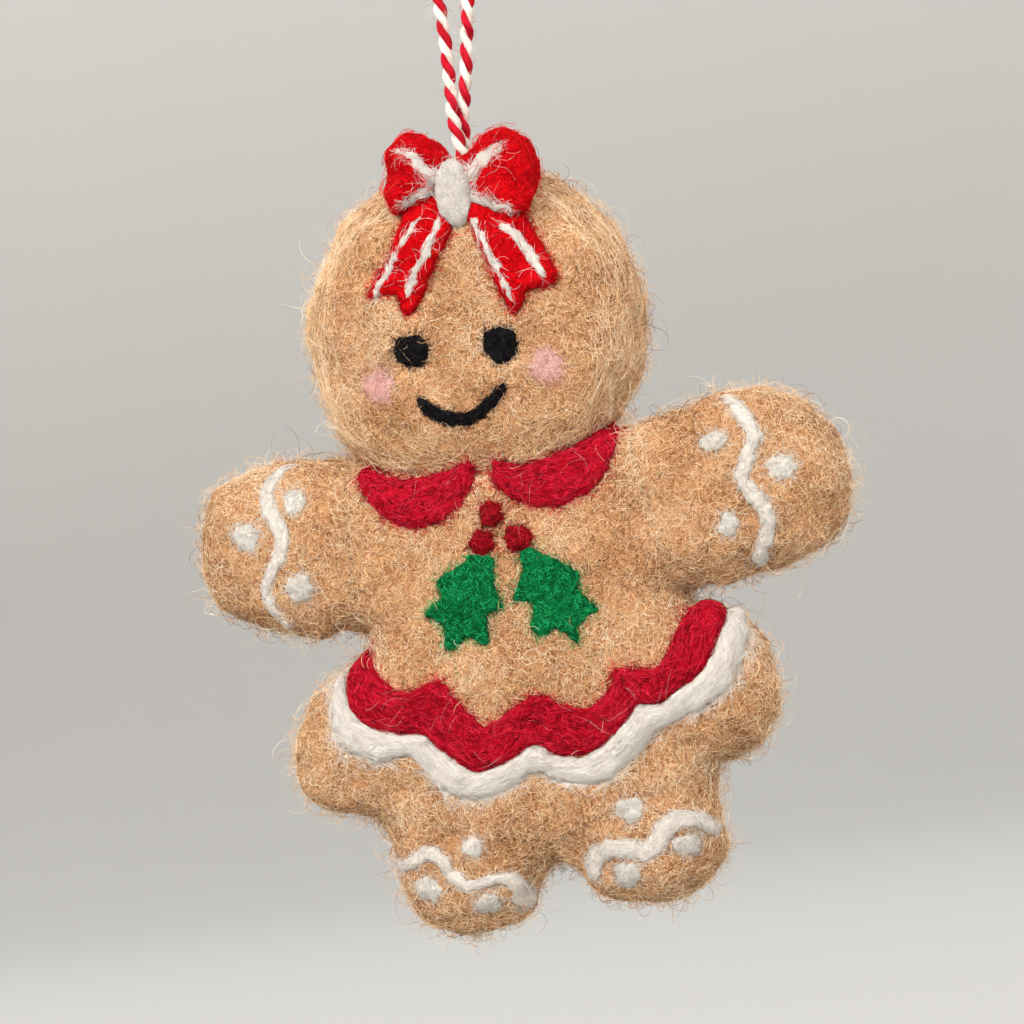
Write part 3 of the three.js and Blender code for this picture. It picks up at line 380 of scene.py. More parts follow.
def felt_material(name, dark, mid, light, scale=1.0, bump=0.35, stretch=(1, 1, 1), sheen=0.0):
    """Matted wool: cloudy tone, tangled fine fibres, and pits between them darkened as painted shade."""
    m = bpy.data.materials.new(name)
    m.use_nodes = True
    nt = m.node_tree
    b = nt.nodes["Principled BSDF"]
    b.inputs["Roughness"].default_value = 0.95
    b.inputs["Specular IOR Level"].default_value = 0.06
    b.inputs["Sheen Weight"].default_value = sheen
    b.inputs["Sheen Roughness"].default_value = 0.6
    tex = nt.nodes.new("ShaderNodeTexCoord")
    mp = nt.nodes.new("ShaderNodeMapping")
    mp.inputs["Scale"].default_value = stretch
    nt.links.new(tex.outputs["Object"], mp.inputs["Vector"])

    def noise_node(size, detail, warp, vector):
        n = nt.nodes.new("ShaderNodeTexNoise")
        n.inputs["Scale"].default_value = 1000.0 / size * scale
        n.inputs["Detail"].default_value = detail
        n.inputs["Distortion"].default_value = warp
        nt.links.new(vector, n.inputs["Vector"])
        return n

    def math_node(kind, a, b, c=None):
        n = nt.nodes.new("ShaderNodeMath")
        n.operation = kind
        for k, v in enumerate((a, b, c)):
            if v is None:
                continue
            if isinstance(v, float):
                n.inputs[k].default_value = v
            else:
                nt.links.new(v, n.inputs[k])
        return n.outputs[0]

    def streak(angle, size, long):
        """Noise drawn out along one direction of the x-z plane: combed strands."""
        m_ = nt.nodes.new("ShaderNodeMapping")
        m_.vector_type = "TEXTURE"
        m_.inputs["Rotation"].default_value = (0.0, math.radians(angle), 0.0)
        m_.inputs["Scale"].default_value = (1.0, 1.8, long)
        m_.inputs["Location"].default_value = (angle * 0.01, 0.3, 0.0)
        nt.links.new(mp.outputs["Vector"], m_.inputs["Vector"])
        return noise_node(size, 2, 0.5, m_.outputs["Vector"]).outputs["Fac"]

    cloud, fine = noise_node(7.0, 3, 0.4, mp.outputs["Vector"]).outputs["Fac"], noise_node(0.22, 3, 0.8, mp.outputs["Vector"]).outputs["Fac"]
    strands = streak(12, 0.20, 7.0)
    for angle in (64, 118, 161):
        strands = math_node("MAXIMUM", strands, streak(angle, 0.20, 7.0))
    ramp = nt.nodes.new("ShaderNodeValToRGB")
    e = ramp.color_ramp.elements
    e[0].position, e[0].color = 0.44, srgb(dark)
    e[1].position, e[1].color = 0.68, srgb(light)
    mid_e = e.new(0.57)
    mid_e.color = srgb(mid)
    # the strands and the clouds give the wool's own tones; the dark end of the ramp, between the strands, is painted
    # shade in the pits
    tone = math_node("MULTIPLY_ADD", strands, 0.62, math_node("MULTIPLY_ADD", cloud, 0.22, math_node("MULTIPLY", fine, 0.16)))
    nt.links.new(tone, ramp.inputs["Fac"])
    nt.links.new(ramp.outputs["Color"], b.inputs["Base Color"])
    relief = math_node("MULTIPLY_ADD", fine, 0.4, strands)
    bp = nt.nodes.new("ShaderNodeBump")
    bp.inputs["Strength"].default_value = bump
    bp.inputs["Distance"].default_value = 0.0003
    nt.links.new(relief, bp.inputs["Height"])
    nt.links.new(bp.outputs["Normal"], b.inputs["Normal"])
    return m


FELT = {
    "tan": felt_material("tan_felt", "663c22", "a8784f", "d2a87b", sheen=0.05),
    "scarlet": felt_material("scarlet_felt", "8a0005", "b6020a", "cc0610"),
    "crimson": felt_material("crimson_felt", "6e0210", "9e081e", "ba102a"),
    "berry": felt_material("berry_felt", "500208", "820712", "a00e1c"),
    "white": felt_material("white_felt", "bcb3a9", "d0c9c0", "ddd7d0", sheen=0.1),
    # the white wool again, painted darker for the dots: painted shade, as they face the key light
    "milk": felt_material("milk_felt", "b2aaa1", "c6c0b7", "d2ccc6", sheen=0.1),
    "green": felt_material("green_felt", "02351a", "04542b", "07743b"),
    "black": felt_material("black_felt", "060506", "0c0b0c", "1a181a"),
    "pink": felt_material("pink_felt", "aa746e", "c89a93", "dab6af"),
}
SHADES = {
    "tan": ("fae8cb", "f4d5aa", "ebc193", "d6a475", "a9724a", "683f26"),
    "scarlet": ("e81420", "c6020b", "880007"),
    "crimson": ("dc2c44", "b60820", "600310"),
    "berry": ("c8222f", "940c18", "54040b"),
    "white": ("e9e4df", "dcd6d0", "cac3ba"),
    # darker copy of the white strands for the dots: painted shade
    "milk": ("dedad6", "d1ccc6", "bbb5ac"),
    "green": ("28b86e", "047c40", "013518"),
    "black": ("302c2e", "151315", "080708"),
    "pink": ("dec2bc", "cc9f98", "b07974"),
    "twine_white": ("f6f0e8", "e8e0d6", "d2c8bc"),
    "twine_red": ("d83044", "bf1428", "960a1a"),
}
STRAND = {k: [fibre_material(f"{k}_strand_{i}", c, 0.08 if k in ("tan", "white", "milk") else 0.0) for i, c in enumerate(v)] for k, v in SHADES.items()}


def piece(ob, colour, *nodes, body="ornament"):
    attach(ob, body)
    if nodes:
        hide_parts(*nodes)
    return ob


# ---------------------------------------------------------------------------
# Twine: one doubled length of two-ply red and white, out of the head and back in.
# ---------------------------------------------------------------------------
def twine_lean(z):
    u = (np.clip(z, PIVOT_Z, LOOP_TOP) - PIVOT_Z) / (LOOP_TOP - PIVOT_Z)
    return LOOP_FOOT * (1 - u * u) + LOOP_LEAN * np.sin(np.pi * u)


def twine_spread(z):
    near = 1.12
    t = np.clip((z - LEGS_TOUCH) / (LOOP_BEND - LEGS_TOUCH), 0, 1)
    return near + (LOOP_HALF - near) * t * (0.35 + 0.65 * t)


def twine_route():
    """Up the left leg, over the top, down the right; the left leg passes in front of the right at the foot."""
    legs = []
    for s in (-1, 1):
        z = np.concatenate([np.linspace(52.0, 72.0, 16, endpoint=False), np.linspace(72.0, LOOP_BEND, 12)])
        apart = np.clip((z - 58.0) / (72.0 - 58.0), 0, 1)
        apart = apart * apart * (3 - 2 * apart)
        side_ = twine_spread(z) * apart
        x = twine_lean(z) + 0.35 * (1 - np.clip((z - 66.0) / 12.0, 0, 1)) + s * side_
        y = s * 1.08 * np.sqrt(np.maximum(1 - (side_ / 1.08) ** 2, 0)) * (side_ < 1.08)
        legs.append(np.stack([x, y, z], axis=1))
    a = np.pi * (1 - np.arange(1, 12) / 12)
    z = LOOP_BEND + (LOOP_TOP - LOOP_BEND) * np.sin(a)
    top = np.stack([twine_lean(z) + LOOP_HALF * np.cos(a), 0 * a, z], axis=1)
    return np.vstack([legs[0], top, legs[1][::-1]])


route = spline(twine_route(), 0.3, closed=False)
TWINE_LEN = float(np.linalg.norm(np.diff(route, axis=0), axis=1).sum())


def route_frames(p):
    t = unit(np.gradient(p, axis=0))
    u = np.zeros_like(t)
    u[0] = unit(np.cross(t[0], np.array([0.0, 1.0, 0.0])))
    for i in range(1, len(t)):
        u[i] = u[i - 1] - t[i] * np.dot(u[i - 1], t[i])
        u[i] /= np.linalg.norm(u[i])
    return t, u, np.cross(t, u)


PITCH = 5.1  # one full turn of the two plies
twine_t, twine_u, twine_v = route_frames(route)
twine_s = np.concatenate([[0], np.cumsum(np.linalg.norm(np.diff(route, axis=0), axis=1))])


def on_ply(ply, s, a, grow_by=1.0):
    """Points on a ply's skin, at length s along the twine and angle a round the ply."""
    c, u, v = ([np.interp(s, twine_s, w[:, k]) for k in range(3)] for w in (route, twine_u, twine_v))
    c, u, v = (np.stack(w, axis=-1) for w in (c, u, v))
    turn = (-2 * np.pi * s / PITCH + ply * np.pi)[..., None]
    out, across = u * np.cos(turn) + v * np.sin(turn), -u * np.sin(turn) + v * np.cos(turn)
    a = a[..., None]
    n = out * np.cos(a) + across * np.sin(a)
    return c + out * 0.46 + grow_by * (out * (0.54 * np.cos(a)) + across * (0.66 * np.sin(a))), n


def twine_mesh():
    t, u, v, s = twine_t, twine_u, twine_v, twine_s
    pitch, sides = PITCH, 14
    wob = waves(5, 3.0)
    verts, faces, index = [], [], []
    for ply in (0, 1):
        turn = -2 * np.pi * s / pitch + ply * np.pi
        out = u * np.cos(turn)[:, None] + v * np.sin(turn)[:, None]
        across = -u * np.sin(turn)[:, None] + v * np.cos(turn)[:, None]
        centre = route + out * 0.46
        base = sum(len(k) for k in verts)
        ring = []
        for k in range(sides):
            a = 2 * np.pi * k / sides
            # three finer yarns show as low ridges along each ply
            ridge = 1 + 0.06 * np.cos(4 * a + 2 * np.pi * s / 2.0)
            r = np.stack([0.54 * ridge, 0.66 * ridge], axis=1)
            p = centre + out * (r[:, :1] * math.cos(a)) + across * (r[:, 1:] * math.sin(a))
            ring.append(p)
        ring = np.stack(ring, axis=1)
        ring += (0.03 * noise(ring.reshape(-1, 3), wob)).reshape(ring.shape[:2])[..., None] * unit(ring - centre[:, None])
        m = len(route)
        verts.append(ring.reshape(-1, 3))
        i = np.arange(m - 1)[:, None] * sides + np.arange(sides)[None]
        j = np.arange(m - 1)[:, None] * sides + (np.arange(sides)[None] + 1) % sides
        q = np.stack([i, j, j + sides, i + sides], axis=-1).reshape(-1, 4) + base
        faces.append(q)
        index.append(np.full(len(q), ply))
        caps = np.arange(sides)
        verts.append(np.stack([centre[0], centre[-1]]))
        hub = base + m * sides
        first = np.stack([np.full(sides, hub), (caps + 1) % sides + base, caps + base], axis=1)
        last = np.stack([np.full(sides, hub + 1), caps + base + (m - 1) * sides, (caps + 1) % sides + base + (m - 1) * sides], axis=1)
        faces += [first, last]
        index += [np.full(sides, ply)] * 2
    order = np.argsort([f.shape[1] for f in faces], kind="stable")
    return np.vstack(verts), [faces[k] for k in order], np.concatenate([index[k] for k in order])


def cotton_material(name, dark, light):
    m = felt_material(name, dark, light, light, scale=2.2, bump=0.35)
    m.node_tree.nodes["Principled BSDF"].inputs["Roughness"].default_value = 0.85
    return m


tv, tf, ti = twine_mesh()
twine = mesh_object("hanger_twine", tv, tf, [cotton_material("twine_white", "cfc6bb", "ece6dd"), cotton_material("twine_red", "920c1a", "c01a2c")], ti)
bend_from, bend_to = to_frame((0, 0, 63.6)), to_frame((0, 0, 68.0))
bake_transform(twine)
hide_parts("hanger_loop", "hanger_neck", "hanger_knot")


# ---------------------------------------------------------------------------
# Tan body: head on its own; torso, arms and legs flow into each other.
# ---------------------------------------------------------------------------
STEP = 0.8
X, Y, Z = grid((-54, -14, -64), (58, 14, 63), STEP)
low = np.array([X.min(), Y.min(), Z.min()])
P = np.stack([X, Y, Z], axis=-1).reshape(-1, 3)
lumps = (noise(P, waves(11, 9.0)) * 0.22 + noise(P, waves(12, 4.2)) * 0.12).reshape(X.shape)
raw = {k: pad_values(spline(BODY[k], 1.0), h, r, X, Y, Z) for k, (h, r) in PADS.items()}
body = raw["torso"]
for k in ("left_arm", "right_arm", "left_leg", "right_leg"):
    body = soft_min(body, raw[k], 2.0 if k == "right_arm" else 3.2)
body = body + lumps
head_values = raw["head"] + lumps
HEAD = Field(head_values, low, STEP)
TORSO = Field(body, low, STEP)
WHOLE = Field(soft_min(head_values, body, 0.8), low, STEP)


def plane(a, b):
    """Signed distance from the line a-b in the x-z plane, positive to its left."""
    d = np.array(b, dtype=float) - np.array(a)
    d /= np.linalg.norm(d)
    return -d[1] * (X - a[0]) + d[0] * (Z - a[1])


# Each limb laps 2 mm under the torso at its joining line.
CUTS = {
    "left_arm": plane((-25.2, -12), (-23.6, 16)), "right_arm": plane((20.8, 15), (25.6, -13)),
    "left_leg": plane((-1.5, -46.5), (-27, -38.8)), "right_leg": plane((26.5, -38.2), (0.5, -46.5)),
}
pieces_mm = {}
hv, hq = surface_nets(HEAD)
pieces_mm["head"] = (hv, hq)
NEAR = 2.6  # how far round a limb its own share of the joint reaches
torso_values = body.copy()
for k, c in CUTS.items():
    torso_values = np.maximum(torso_values, np.minimum(c, NEAR - raw[k]))
pieces_mm["torso"] = surface_nets(Field(torso_values, low, STEP), 1)
for k, c in CUTS.items():
    sunk = body + 0.15 * np.clip((-c + 0.3) / 0.8, 0, 1)
    limb = np.maximum(np.maximum(sunk, -c - 2.0), raw[k] - NEAR)
    pieces_mm[k] = surface_nets(Field(limb, low, STEP), 1)
for k, (v, q) in pieces_mm.items():
    ob = piece(mesh_object(f"{k}_felt", v, q, FELT["tan"]), "tan", f"{k}_cover", f"{k}_core")


# ---------------------------------------------------------------------------
# Appliques: wool laid on the surface, domed to the edge and sunk a little.
# ---------------------------------------------------------------------------
SINK = 0.35


class Patch:
    def __init__(self, name, outline, field, lift, rim, colour, node, under=None, rough=0.10, ridges=0.0, line=None, seed=1):
        self.name, self.field, self.lift, self.rim, self.colour, self.node = name, field, lift, rim, colour, node
        self.under, self.ridges, self.seed = under, ridges, seed
        self.line = None if line is None else spline(line, 0.3, closed=False)
        poly = np.asarray(outline)
        if rough:
            w = waves(seed, 1.6)
            q = np.stack([poly[:, 0], 0 * poly[:, 0], poly[:, 1]], axis=1)
            t = unit(np.roll(poly, -1, 0) - np.roll(poly, 1, 0))
            poly = poly + np.stack([t[:, 1], -t[:, 0]], axis=1) * (noise(q, w) * rough)[:, None]
        self.poly = poly
        self.step = 0.25
        self.low = poly.min(0) - 2.5
        n = np.ceil((poly.max(0) + 2.5 - self.low) / self.step).astype(int) + 1
        gx, gz = np.meshgrid(self.low[0] + np.arange(n[0]) * self.step, self.low[1] + np.arange(n[1]) * self.step, indexing="ij")
        self.d = inner_distance(poly, np.stack([gx.ravel(), gz.ravel()], axis=1)).reshape(n)
        self.gx, self.gz = np.gradient(self.d, self.step)

    def read(self, table, x, z):
        n = self.d.shape
        u = np.clip((x - self.low[0]) / self.step, 0, n[0] - 1.001)
        v = np.clip((z - self.low[1]) / self.step, 0, n[1] - 1.001)
        i, j = u.astype(int), v.astype(int)
        a, b = u - i, v - j
        return (table[i, j] * (1 - a) + table[i + 1, j] * a) * (1 - b) + (table[i, j + 1] * (1 - a) + table[i + 1, j + 1] * a) * b

    def depth(self, x, z):
        out = (x < self.low[0]) | (z < self.low[1]) | (x > self.low[0] + (self.d.shape[0] - 1) * self.step) | (
            z > self.low[1] + (self.d.shape[1] - 1) * self.step)
        return np.where(out, -5.0, self.read(self.d, x, z))

    def along(self, x, z):
        """Direction beside the edge, in x-z."""
        g = np.stack([-self.read(self.gz, x, z), self.read(self.gx, x, z)], axis=1)
        return unit(g)

    def beside_edge(self, x, z):
        """Direction of the nearest stretch of outline, in x-z, always to the right."""
        t = unit(np.roll(self.poly, -2, 0) - np.roll(self.poly, 2, 0))
        t = t * np.where(t[:, :1] < 0, -1.0, 1.0)
        best = np.empty(len(x), dtype=int)
        for s in range(0, len(x), 3000):
            d = (x[s:s + 3000, None] - self.poly[:, 0]) ** 2 + (z[s:s + 3000, None] - self.poly[:, 1]) ** 2
            best[s:s + 3000] = d.argmin(1)
        return t[best]

    def beside_line(self, x, z):
        """Direction of the centre line, in x-z."""
        t = unit(np.gradient(self.line, axis=0))
        d = (x[:, None] - self.line[:, 0]) ** 2 + (z[:, None] - self.line[:, 1]) ** 2
        return t[d.argmin(1)]

    def height(self, x, z):
        """Height over the field's own surface."""
        d = self.depth(x, z)
        u = np.clip(d / self.rim, 0, 1)
        h = -SINK + (self.lift + SINK) * np.sqrt(np.maximum(1 - (1 - u) ** 2, 0))
        q = np.stack([x, 0 * x, z], axis=1)
        h = h + u * (0.10 * noise(q, waves(self.seed + 50, 2.4)) * min(1.0, self.lift) + 0.04 * noise(q, waves(self.seed + 90, 0.9)))
        if self.ridges:
            h = h + u * self.ridges * np.cos(2 * np.pi * (d + 0.12 * noise(q, waves(self.seed + 7, 5.0))) / 0.62)
        h = np.where(d > 0, h, -SINK)
        if self.under is not None:
            h = h + np.maximum(self.under.height(x, z), 0.0)
        return h

    def base(self, x, z):
        p, found = self.field.front(x, z)
        if not found.all():
            w = ~found
            p[w] = self.field.project(np.stack([x[w], np.full(w.sum(), -4.0), z[w]], axis=1), 8)
        return p, self.field.normal(p)

    def build(self):
        edge = self.poly
        fine = 0.42
        lo, hi = edge.min(0), edge.max(0)
        rows = []
        for k, z in enumerate(np.arange(lo[1], hi[1], fine * 0.866)):
            x = np.arange(lo[0] + (k % 2) * fine * 0.5, hi[0], fine)
            rows.append(np.stack([x, np.full(len(x), z)], axis=1))
        inner = np.vstack(rows)
        inner = inner[self.depth(inner[:, 0], inner[:, 1]) > 0.24]
        pts = np.vstack([edge, inner])
        co, _, tris, _, _, _ = delaunay_2d_cdt([Vector(p) for p in pts], [], [list(range(len(edge)))], 1, 1e-5)
        co = np.array([tuple(c) for c in co])
        tris = np.array([t for t in tris if len(t) == 3], dtype=np.int64)
        a, b, c = co[tris[:, 0]], co[tris[:, 1]], co[tris[:, 2]]
        turn = (b[:, 0] - a[:, 0]) * (c[:, 1] - a[:, 1]) - (b[:, 1] - a[:, 1]) * (c[:, 0] - a[:, 0])
        tris[turn < 0] = tris[turn < 0][:, ::-1]
        used = np.unique(tris)
        remap = np.full(len(co), -1)
        remap[used] = np.arange(len(used))
        co, tris = co[used], remap[tris]
        # outline points are the ends of edges used once
        e = np.sort(np.vstack([tris[:, [0, 1]], tris[:, [1, 2]], tris[:, [2, 0]]]), axis=1)
        key, cnt = np.unique(e, axis=0, return_counts=True)
        rim = np.zeros(len(co), dtype=bool)
        rim[key[cnt == 1].ravel()] = True
        p, n = self.base(co[:, 0], co[:, 1])
        lift_under = np.maximum(self.under.height(co[:, 0], co[:, 1]), 0.0) if self.under is not None else 0.0
        h = self.height(co[:, 0], co[:, 1])
        h[rim] = (-SINK + lift_under)[rim] if self.under is not None else -SINK
        top = p + n * h[:, None]
        low = p + n * (np.minimum(h, -SINK + lift_under) - 0.45)[:, None]
        bottom_index = np.where(rim, np.arange(len(co)), -1)
        bottom_index[~rim] = len(co) + np.arange((~rim).sum())
        verts = np.vstack([top, low[~rim]])
        faces = np.vstack([tris, bottom_index[tris][:, ::-1]])
        self.tri, self.top, self.flat = tris, top, co
        return piece(mesh_object(self.name, verts, faces, FELT[self.colour]), self.colour, self.node)


def strip_outline(line, half, wide=1.0):
    """Outline of a ribbon about a centre line, with round ends."""
    half = [h * wide for h in half]
    s = spline(line, 0.35, closed=False)
    k = np.linspace(0, 1, len(half))
    w = np.interp(np.linspace(0, 1, len(s)), k, half)
    t = unit(np.gradient(s, axis=0))
    n = np.stack([-t[:, 1], t[:, 0]], axis=1)
    left, right = s + n * w[:, None], s - n * w[:, None]
    a = np.linspace(0, np.pi, 7)[1:-1]
    end = s[-1] + w[-1] * (n[-1] * np.cos(a)[:, None] + t[-1] * np.sin(a)[:, None])
    start = s[0] + w[0] * (-n[0] * np.cos(a)[:, None] - t[0] * np.sin(a)[:, None])
    ring = np.vstack([left, end, right[::-1], start])
    return spline(ring[::2], 0.32)


def oval(x, z, rx, rz):
    a = np.linspace(0, 2 * np.pi, 24, endpoint=False)
    return spline(np.stack([x + rx * np.cos(a), z + rz * np.sin(a)], axis=1), 0.32)


patches = []


def lay(name, outline, field, lift, rim, colour, **more):
    p = Patch(name + "_wool", outline, field, lift, rim, colour, name, seed=200 + len(patches), **more)
    patches.append(p)
    return p


# --- bow loops and knot -----------------------------------------------------
KNOT_AT = np.array([0.8, 53.6])
bx, by, bz = grid((-13, -16.5, 45), (16.5, 1.0, 66), 0.5)
b_low = np.array([bx.min(), by.min(), bz.min()])
bp = np.stack([bx, by, bz], axis=-1).reshape(-1, 3)
b_lump = (noise(bp, waves(31, 4.5)) * 0.16 + noise(bp, waves(32, 2.0)) * 0.06).reshape(bx.shape)
from_knot = np.hypot(bx - KNOT_AT[0], bz - KNOT_AT[1])
swell = np.clip((from_knot - 1.0) / 6.5, 0, 1)
swell = swell * swell * (3 - 2 * swell)
LOOP, loop_mesh = {}, {}
BOW_WIDE = {"left": 0.95, "right": 1.0}
tilt = -6.6 - np.clip(63.0 - bz, 0, 14) * 0.27  # the lower ends lean forward over the head
for s in ("left", "right"):
    q = np.stack([bx[:, 0, :].ravel(), bz[:, 0, :].ravel()], axis=1)
    ring = [[x * BOW_WIDE[s], z] for x, z in PATCH[f"bow_{s}"]]
    d = inner_distance(spline(ring, 0.5), q).reshape(bx.shape[0], bx.shape[2])[:, None, :]
    half = 2.2 + 1.8 * swell
    u = (4.6 - np.minimum(d, 4.6)) / 4.6
    w = ((u**2.1 + (np.abs(by - tilt) / half) ** 2.1) ** (1 / 2.1) - 1) * 3.6
    LOOP[s] = Field(w + b_lump, b_low, 0.5)
    loop_mesh[s] = surface_nets(LOOP[s])
    piece(mesh_object(f"bow_{s}_loop_felt", *loop_mesh[s], FELT["scarlet"]), "scarlet", f"bow_{s}_loop")
knot_line = spline((np.array(PATCH["knot"]) - KNOT_AT) * (0.94, 0.99) + KNOT_AT - (0.3, 0.0), 0.4)
kv = pad_values(knot_line, 1.9, 2.3, bx, by, bz, mid=-10.6, power=2.4) + b_lump * 0.7
KNOT_FIELD = Field(kv, b_low, 0.5)
nv, nq = surface_nets(KNOT_FIELD)
piece(mesh_object("bow_knot_felt", nv, nq, FELT["white"]), "white", "bow_knot")

# --- flat pieces ------------------------------------------------------------
TAIL = {  # tops run on under the loops and the knot
    "left": [[-1.0, 52.6], [-3.5, 54.2], [-6.8, 53.2]] + PATCH["tail_left"][2:],
    "right": [[1.0, 52.6]] + PATCH["tail_right"][1:-1] + [[10.2, 51.6], [5.5, 53.6]],
}
tail = {s: lay(f"bow_{s}_tail", spline(TAIL[s], 0.32), HEAD, 1.25, 1.1, "scarlet") for s in ("left", "right")}
for s in ("left", "right"):
    for e in ("upper", "lower"):
        line = STRIP[f"loop_{s}_{e}"]["line"]
        line = [[line[0][k] + 0.45 * (KNOT_AT[k] - line[0][k]) for k in (0, 1)]] + line[1:]
        if e == "lower":
            # stops short of the loop's edge
            line = line[:-1] + [[line[-1][k] + 0.32 * (line[-2][k] - line[-1][k]) for k in (0, 1)]]
        line = [[x, z + (0.25 if e == "lower" else -0.55)] for x, z in line]
        lay(f"bow_{s}_stripe_{e}", strip_outline(line, STRIP[f"loop_{s}_{e}"]["half"], wide=1.2 if e == "upper" else 0.95), LOOP[s], 0.26, 0.9, "white", rough=0.20, line=line)
    for e in ("outer", "inner"):
        lay(f"bow_{s}_tail_stripe_{e}", strip_outline(**STRIP[f"tail_{s}_{e}"], wide=1.18), HEAD, 0.18, 0.7, "white", under=tail[s], rough=0.18,
            line=STRIP[f"tail_{s}_{e}"]["line"])
for s in ("left", "right"):
    x, z, rx, rz = DOT[f"{s}_eye"]
    lay(f"{s}_eye", oval(x - 0.25, z, rx * 1.09, rz * 1.09), HEAD, 0.75, 1.6, "black", rough=0.16)
    x, z, rx, rz = DOT[f"{s}_cheek"]
    lay(f"{s}_cheek", oval(x, z, rx * 1.08, rz * 1.08), HEAD, 0.16, 1.2, "pink", rough=0.25)
    lay(f"collar_{s}", spline(PATCH[f"collar_{s}"], 0.32), WHOLE, 0.95, 1.4, "crimson")
    lay(f"holly_leaf_{s}", spline(PATCH[f"leaf_{s}"], 0.28), TORSO, 0.75, 0.9, "green", rough=0.06)
lay("mouth", strip_outline(**STRIP["mouth"], wide=1.36), HEAD, 0.55, 0.8, "black", rough=0.10, line=STRIP["mouth"]["line"])
lay("skirt_band", spline(PATCH["skirt_band"], 0.32), TORSO, 0.95, 1.4, "crimson")
lay("skirt_trim", spline(PATCH["skirt_trim"], 0.32), TORSO, 1.3, 2.1, "white", ridges=0.08, rough=0.14)
for k in ("berry_top", "berry_left", "berry_right"):
    x, z, rx, rz = DOT[k]
    lay(k, oval(x, z, rx * 1.05, rz * 1.05), TORSO, 1.25, 1.9, "berry", rough=0.2)
NUDGE = {"left_arm": -0.45, "right_arm": -0.3, "left_leg": -0.1, "right_leg": -0.1}
for s in ("left", "right"):
    for limb in ("arm", "leg"):
        icing = {"line": [[x + NUDGE[f"{s}_{limb}"], z] for x, z in STRIP[f"{s}_{limb}_icing"]["line"]], "half": STRIP[f"{s}_{limb}_icing"]["half"]}
        lay(f"{s}_{limb}_icing", strip_outline(**icing, wide={"left_leg": 1.42, "right_leg": 1.62}.get(f"{s}_{limb}", 1.08)), TORSO, 0.52, 1.1, "white", rough=0.16, line=icing["line"])
        for k in [d for d in DOT if d.startswith(f"{s}_{limb}_dot")]:
            x, z, rx, rz = DOT[k]
            # the dots take the darker copy of the white wool, as painted shade where they face the key light
            lay(k, oval(x + NUDGE[f"{s}_{limb}"], z, rx * 1.12, rz * 1.12), TORSO, 0.44, 1.6, "milk", rough=0.18)
for p in patches:
    p.build()


# ---------------------------------------------------------------------------
# Loose fibres: thin tapered strands that dive in and out of the felt
# ---------------------------------------------------------------------------
def tubes(P, radius, ref):
    """Three-sided tapered tubes round (n, k, 3) lines."""
    n, k, _ = P.shape
    T = unit(np.gradient(P, axis=1))
    U = unit(np.cross(T, ref[:, None, :]))
    V = np.cross(T, U)
    taper = np.sin(np.pi * np.linspace(0.12, 0.88, k))[None, 1:-1]
    r = (radius[:, None] * taper)[..., None]
    rings = [P[:, 1:-1] + r * (U[:, 1:-1] * math.cos(a) + V[:, 1:-1] * math.sin(a)) for a in (0.0, 2 * math.pi / 3, 4 * math.pi / 3)]
    rings = np.stack(rings, axis=2).reshape(n, (k - 2) * 3, 3)
    verts = np.concatenate([P[:, :1], rings, P[:, -1:]], axis=1)
    per = verts.shape[1]
    tri, quad = [], []
    for j in range(3):
        tri.append((0, 1 + (j + 1) % 3, 1 + j))
        tri.append((per - 1, per - 4 + j, per - 4 + (j + 1) % 3))
        for i in range(k - 3):
            a, b = 1 + i * 3 + j, 1 + i * 3 + (j + 1) % 3
            quad.append((a, b, b + 3, a + 3))
    base = (np.arange(n) * per)[:, None, None]
    return verts.reshape(-1, 3), (np.array(tri)[None] + base).reshape(-1, 3), (np.array(quad)[None] + base).reshape(-1, 4)


def strand_objects(name, P, radius, index, colours, seed, body="ornament", keep=None):
    """Tubes as one or more objects, each well under the face limit."""
    r = np.random.default_rng(seed)
    mats = []
    for c in colours:
        mats += STRAND[c]
    k = P.shape[1]
    most = int(150000 / (6 + 6 * (k - 3)))
    out = []
    for part, s in enumerate(range(0, len(P), most)):
        q, m = P[s:s + most], index[s:s + most]
        v, t, f = tubes(q, radius[s:s + most], unit(r.normal(size=(len(q), 3))))
        mi = np.concatenate([np.repeat(m, 6), np.repeat(m, 3 * (k - 3))])
        ob = mesh_object(f"{name}_{part + 1}", v, [t, f], mats, mi)
        if body:
            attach(ob, body)
        out.append(ob)
    return out


def scatter(verts, faces, density, r):
    """Points evenly over a mesh, density per square millimetre."""
    f = np.asarray(faces)
    if f.shape[1] == 4:
        f = np.vstack([f[:, [0, 1, 2]], f[:, [0, 2, 3]]])
    a, b, c = verts[f[:, 0]], verts[f[:, 1]], verts[f[:, 2]]
    area_ = 0.5 * np.linalg.norm(np.cross(b - a, c - a), axis=1)
    n = int(area_.sum() * density)
    pick = r.choice(len(f), n, p=area_ / area_.sum())
    u, v = r.random(n), r.random(n)
    w = u + v > 1
    u[w], v[w] = 1 - u[w], 1 - v[w]
    return a[pick] + (b - a)[pick] * u[:, None] + (c - a)[pick] * v[:, None]


def tangent(n, r):
    t = r.normal(size=n.shape)
    return unit(t - n * (t * n).sum(1, keepdims=True))


